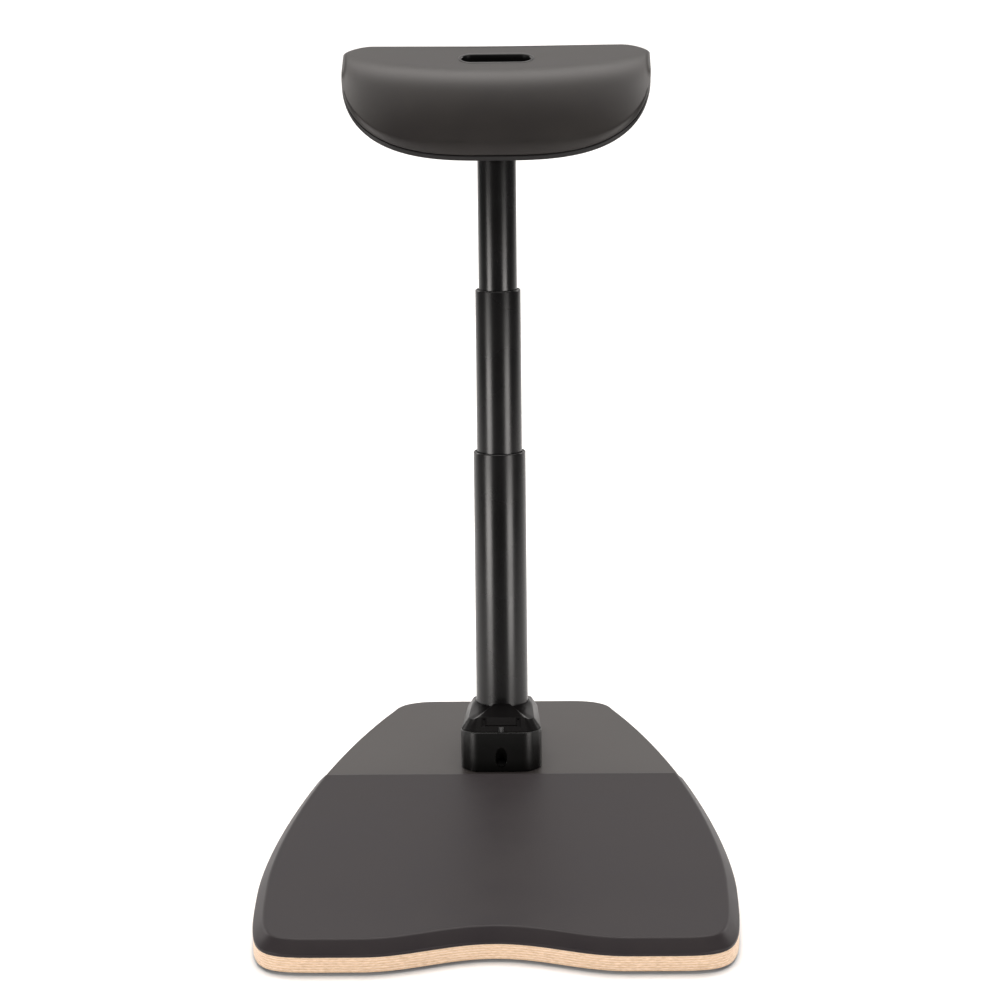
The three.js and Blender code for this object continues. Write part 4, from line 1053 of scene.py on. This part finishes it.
strip = clip_rows(-CLIP_HALF, CLIP_HALF, STRIP_HEIGHTS)
ribs = [clip_rows(x, x + RIB_FAR - RIB_NEAR, RIB_HEIGHTS) for x in (-RIB_FAR, RIB_NEAR)]
spring_clip = dressed(
    "collar_spring_clip", lidded_mesh([strip, *ribs]), blued_steel, "base",
    ["collar_clip"], crease=30.0)
soften_edges(spring_clip, CLIP_EASE, 30.0)

# %% [markdown]
# ## The seat
#
# The seat is a saddle of moulded foam on a moulded shell. Along its length the top is flat, turns
# down quickly over a crest and goes on turning to the front edge. The flat part is half an
# ellipse in plan, so the crest sweeps from one rear corner forward and back to the other. All of
# it comes from one function of two numbers: across, from -1 to 1, and along, from 0 at the rear
# to 1 at the front. The shell is a dish with a flat middle, which runs out to the same edge.

# %% The seat's surfaces
SEAT_HALF = 175.5
SEAT_BACK = 95.0
SEAT_THICKNESS = 44.0
SHELL_THICKNESS = 9.0
FLAT_MIDDLE = 76.0
LINE_SIDE, LINE_MIDDLE = 58.5, 185.0
CREST_LENGTH = 48.0
CREST_SHARE, CREST_SIDE = 0.4, 0.8
TURN_SIDE, TURN_MIDDLE = math.radians(8.0), math.radians(70.0)
# The mean turn along a line that bends evenly, over the crest, and as the edge's height needs.
EVEN_MEAN, CREST_MEAN, EDGE_MEAN = 0.5, 0.82, 0.64
BEND_STEPS = 40
FULLNESS = 2.44


def seat_surface(across, along, depth=0.0):
    """A point of the seat's top in its own frame, lowered by depth millimetres.

    Past the flat part, each line from rear to front turns down by an angle that grows quickly
    over the crest and then evenly. The point is where the cosines and sines of that angle,
    averaged over the length gone, have led. Both the length and the turn fade to the sides.
    """
    across = np.clip(across, -1, 1)
    fade = (1 - np.abs(across) ** FULLNESS) ** (1 / FULLNESS)
    flat = FLAT_MIDDLE * np.sqrt(1 - across**2)
    bend = LINE_SIDE + (LINE_MIDDLE - LINE_SIDE) * fade - flat
    share = CREST_SHARE + (CREST_SIDE - CREST_SHARE) * (1 - fade)
    mean = EVEN_MEAN + (CREST_MEAN - EVEN_MEAN) * share
    turn = (TURN_SIDE + (TURN_MIDDLE - TURN_SIDE) * fade) * EDGE_MEAN / mean
    travel = along * (flat + bend)
    bent = np.maximum(travel - flat, 0)
    gone = bent[..., None] * ((np.arange(BEND_STEPS) + 0.5) / BEND_STEPS)
    crest = smooth(gone, 0.0, CREST_LENGTH)
    share = share[..., None]
    angles = turn[..., None] * (share * crest + (1 - share) * gone / bend[..., None])
    y = SEAT_BACK - np.minimum(travel, flat) - bent * np.cos(angles).mean(-1)
    z = SEAT_THICKNESS - bent * np.sin(angles).mean(-1) - depth
    return xyz(across * SEAT_HALF, y, z)


# %% [markdown]
# The edge of the seat is one line in those two numbers: along the rear, round the corner, down
# the side and along the front. In front, across runs by the cosine of an angle, raised so that
# the points stay close together where the edge turns into the side.

# %% Edge of the seat
CORNER_ACROSS, CORNER_ALONG = 30.0, 16.0


def seat_outline():
    """(across, along) round the seat's edge, clockwise from the middle of the rear edge."""
    corner_across = CORNER_ACROSS / SEAT_HALF
    corner_along = CORNER_ALONG / LINE_SIDE
    rear_across = np.linspace(0, 1 - corner_across, 45)[:-1]
    rear = np.stack([rear_across, np.zeros_like(rear_across)], -1)
    turn = np.linspace(0, math.pi / 2, 31)
    corner = np.stack([1 - corner_across * (1 - np.sin(turn)),
                       corner_along * (1 - np.cos(turn))], -1)
    side_along = np.linspace(corner_along, 1, 17)[1:]
    side = np.stack([np.ones_like(side_along), side_along], -1)
    sweep = np.linspace(0, math.pi / 2, 100)[1:]
    front_across = np.clip(np.cos(sweep), 0, 1) ** (2 / FULLNESS)
    front = np.stack([front_across, np.ones_like(front_across)], -1)
    return both_halves(np.concatenate([rear, corner, side, front]))


rim = seat_outline()
rim_points = seat_surface(rim[:, 0], rim[:, 1])
print("seat edge:", len(rim), "points, lowest", round(float(rim_points[:, 2].min()), 1), "mm")

# %% [markdown]
# Every row of the cushion and the shell is that edge, shrunk towards the middle. The shares grow
# evenly, and the last few are given as millimetres inside the edge, where the roll needs them.

# %% Rows of the seat
SEAT_CENTRE = 0.42
DISH_MIDDLE = 14.0
DISH_SHARE = 0.56
centre_point = seat_surface(np.zeros(1), np.full(1, SEAT_CENTRE))
rim_reach = np.linalg.norm(rim_points - centre_point, axis=1)


def top_row(share, depth=0.0):
    """The seat's outline shrunk to a share of its size, on the top lowered by depth."""
    across = rim[:, 0] * share
    along = SEAT_CENTRE + (rim[:, 1] - SEAT_CENTRE) * share
    return seat_surface(across, along, depth)


def dish_row(share, flat, depth):
    """The same on the dish: flat high in the middle, and depth below the top at the edge."""
    share = np.broadcast_to(share, len(rim))
    bend = smooth(share, DISH_SHARE, 1.0)
    return xyz(rim_points[:, 0] * share,
               DISH_MIDDLE + (rim_points[:, 1] - DISH_MIDDLE) * share,
               flat + (rim_points[:, 2] - depth - flat) * bend)


def inset_share(inset):
    """The share of the way out that lies inset millimetres inside the edge."""
    return 1 - inset / rim_reach


inner_shares = np.concatenate([[0.02], np.linspace(0.06, 0.93, 38)])
quarter = np.linspace(0, math.pi / 2, 9)
print("inner rows:", len(inner_shares))

# %% [markdown]
# ### The cushion
#
# The cushion is foam moulded in its own skin, so it holds its form, and its surface is worked
# out, not simulated. Its edge rolls over a 6 mm radius and tucks in above the shell, which
# leaves the dark seam that runs round the seat.

# %% Cushion
PAD_ROLL = 6.0
PAD_RIM = 8.0
PAD_INSETS = 9.0, 7.5
SEAM = 0.8
PAD_FOOT = SHELL_THICKNESS + SEAM
TUCK = 2.2
pad_rows = [top_row(share) for share in inner_shares]
pad_rows += [top_row(inset_share(inset)) for inset in PAD_INSETS]
pad_rows += [top_row(inset_share(PAD_ROLL * (1 - math.sin(a))), PAD_ROLL * (1 - math.cos(a)))
             for a in quarter]
pad_rows += [dish_row(inset_share(TUCK * (1 - math.cos(a))), PAD_FOOT,
                      PAD_RIM - TUCK * (1 - math.sin(a))) for a in quarter[2:]]
pad_rows += [dish_row(share, PAD_FOOT, PAD_RIM) for share in inner_shares[::-1]]
cushion = stacked("seat_cushion", [on_seat(row) for row in pad_rows], seat_skin,
                  "seat", ["seat_pad"], crease=60.0)

# %% [markdown]
# ### The hand slot
#
# The slot is an obround hole, straight sides and round ends, cut through cushion and shell. A
# moulded liner stands in it, and a small rounded lip covers the cut edge of the foam.

# %% Slot
SLOT_HALF_LENGTH, SLOT_HALF_WIDTH = 42.0, 14.8
SLOT_FROM_REAR = 46.4
SLOT_CUT_LOW, SLOT_CUT_HIGH = -20.0, 60.0
SLOT_END_POINTS = 48
LINER_WALL = 2.5
LINER_FOOT = 0.2
LIP_TOP = SEAT_THICKNESS + 0.7


def slot_row(grow, height):
    """The slot's obround outline, grown by grow, at one height in the seat's frame."""
    turn = np.linspace(-math.pi / 2, math.pi / 2, SLOT_END_POINTS)
    radius = SLOT_HALF_WIDTH + grow
    x = SLOT_HALF_LENGTH - SLOT_HALF_WIDTH + radius * np.cos(turn)
    end = np.stack([x, radius * np.sin(turn)], -1)
    line = np.concatenate([end, -end]) + [0.0, SEAT_BACK - SLOT_FROM_REAR]
    return on_seat(xyz(line[:, 0], line[:, 1], height))


slot_hole = [slot_row(0.0, SLOT_CUT_LOW), slot_row(0.0, SLOT_CUT_HIGH)]
cut(cushion, [slot_hole], crease=60.0)

# How far out from the slot's wall and how high: up the inside, over the lip and down outside.
liner_profile = [
    (-LINER_WALL, LINER_FOOT), (-LINER_WALL, LIP_TOP - 2.0), (-LINER_WALL + 0.3, LIP_TOP - 1.0),
    (-LINER_WALL + 1.0, LIP_TOP - 0.3), (-LINER_WALL + 2.0, LIP_TOP), (0.8, LIP_TOP - 0.15),
    (1.3, LIP_TOP - 0.45), (1.5, SEAT_THICKNESS + HAIRLINE), (1.2, SEAT_THICKNESS - HAIRLINE),
    (-0.3, SEAT_THICKNESS - HAIRLINE), (-0.3, LINER_FOOT),
]
stacked("slot_surround", [slot_row(grow, height) for grow, height in liner_profile], liner_abs,
        "seat", ["slot_liner"], ring=True, crease=50.0)

# %% [markdown]
# ### The shell
#
# Under the foam is a moulded shell, nine millimetres thick where the bracket is screwed to it and
# 5.5 mm at its edge, which shows as a ribbon below the cushion all round.

# %% Shell
SHELL_INSET = 0.2
SHELL_EASE = 1.0
SHELL_RIM = 5.5
SHELL_RIM_TOP = PAD_RIM + SEAM
SHELL_RIM_FOOT = SHELL_RIM_TOP + SHELL_RIM
shell_rows = [dish_row(share, SHELL_THICKNESS, SHELL_RIM_TOP) for share in inner_shares]
shell_rows += [dish_row(inset_share(SHELL_INSET + SHELL_EASE * (1 - math.sin(a))),
                        SHELL_THICKNESS, SHELL_RIM_TOP + SHELL_EASE * (1 - math.cos(a)))
               for a in quarter]
shell_rows += [dish_row(inset_share(SHELL_INSET + SHELL_EASE * (1 - math.cos(a))),
                        0.0, SHELL_RIM_FOOT - SHELL_EASE * (1 - math.sin(a)))
               for a in quarter]
shell_rows += [dish_row(share, 0.0, SHELL_RIM_FOOT) for share in inner_shares[::-1]]
shell = stacked("moulded_shell", [on_seat(row) for row in shell_rows], shell_foam,
                "seat", ["seat_shell"], crease=40.0)
cut(shell, [slot_hole], crease=40.0)

# %% [markdown]
# ## Small hardware
#
# The bracket, the paddle and its sleeve keep their CAD forms. A copy of each is merged, freed of
# its flat triangles, and gets a small bevel, because a real pressed or turned edge always catches
# a line of light. The hub is a turned ring.

# %% Hardware with eased edges
HUB_BORE, HUB_RADIUS = 14.3, 25.0
HUB_FOOT, HUB_TOP = 694.6, 708.0
HUB_ARRIS = 0.8
FLAT_ANGLE = math.radians(1.0)


def eased(node, name, finish, body, width, angle=35.0):
    """A copy of a CAD node with merged points and bevelled edges, which stands for it."""
    work = bmesh.new()
    work.from_mesh(bpy.data.objects[node].data)
    bmesh.ops.remove_doubles(work, verts=work.verts, dist=MERGE_DISTANCE)
    bmesh.ops.dissolve_limit(work, angle_limit=FLAT_ANGLE, verts=work.verts, edges=work.edges)
    mesh = bpy.data.meshes.new(name)
    work.to_mesh(mesh)
    work.free()
    piece = dressed(name, mesh, finish, body, [node], crease=angle)
    soften_edges(piece, width, angle)


eased("seat_bracket", "seat_bracket_pressing", electrocoat, "seat", 0.4)
eased("release_paddle", "release_lever", electrocoat, "paddle", 0.4)
eased("paddle_sleeve", "lever_grip", foot_rubber, "paddle", 0.8)
hub_profile = [
    (HUB_BORE, HUB_FOOT), (HUB_RADIUS - HUB_ARRIS, HUB_FOOT), (HUB_RADIUS, HUB_FOOT + HUB_ARRIS),
    (HUB_RADIUS, HUB_TOP - HUB_ARRIS), (HUB_RADIUS - HUB_ARRIS, HUB_TOP), (HUB_BORE, HUB_TOP),
]
turned("swivel_hub", hub_profile, electrocoat, "seat", "seat_hub")

# %% [markdown]
# The nodes that keep their CAD mesh get their finish on their own material slots. Most of them
# are bolts, bushes and rods inside the column or under the seat.

# %% Finishes on the remaining nodes
kept_finishes = {
    zinc_plate: [
        *[f"block_bolt_{i}" for i in range(1, 5)], "tube_base_plug", "rod_clip", "piston_rod",
        "top_plug", "release_pin", "hub_clip", "hinge_pin",
        *[f"shell_screw_{i}" for i in range(1, 5)]],
    black_oxide: ["toe_screw"],
    electrocoat: ["gas_cylinder"],
    turned_acetal: ["middle_slider", "inner_slider", "cylinder_guide", "thrust_washer"],
    foot_rubber: ["bump_stop", *[f"rubber_foot_{i}" for i in range(1, 7)]],
}
for finish, nodes in kept_finishes.items():
    for node in nodes:
        materials = bpy.data.objects[node].data.materials
        materials.clear()
        materials.append(finish)
    print(finish.name, "on", len(nodes), "nodes")

# %% [markdown]
# ## The floor
#
# The studio's floor is a plain white sheet, so wide that its edge lies outside the picture. It is
# part of the stage and not of the stool.

# %% Floor
FLOOR_HALF = 20.0
corners = [(x * FLOOR_HALF, y * FLOOR_HALF, 0) for x, y in ((-1, -1), (1, -1), (1, 1), (-1, 1))]
floor_mesh = bpy.data.meshes.new("floor")
floor_mesh.from_pydata(corners, [], [(0, 1, 2, 3)])
floor = bpy.data.objects.new("floor", floor_mesh)
bpy.context.scene.collection.objects.link(floor)
floor_paint = new_finish(
    "white_floor", {"Base Color": (0.95, 0.95, 0.95, 1), "Roughness": 0.9})[0]
floor_mesh.materials.append(floor_paint)
print("floor:", 2 * FLOOR_HALF, "m wide")
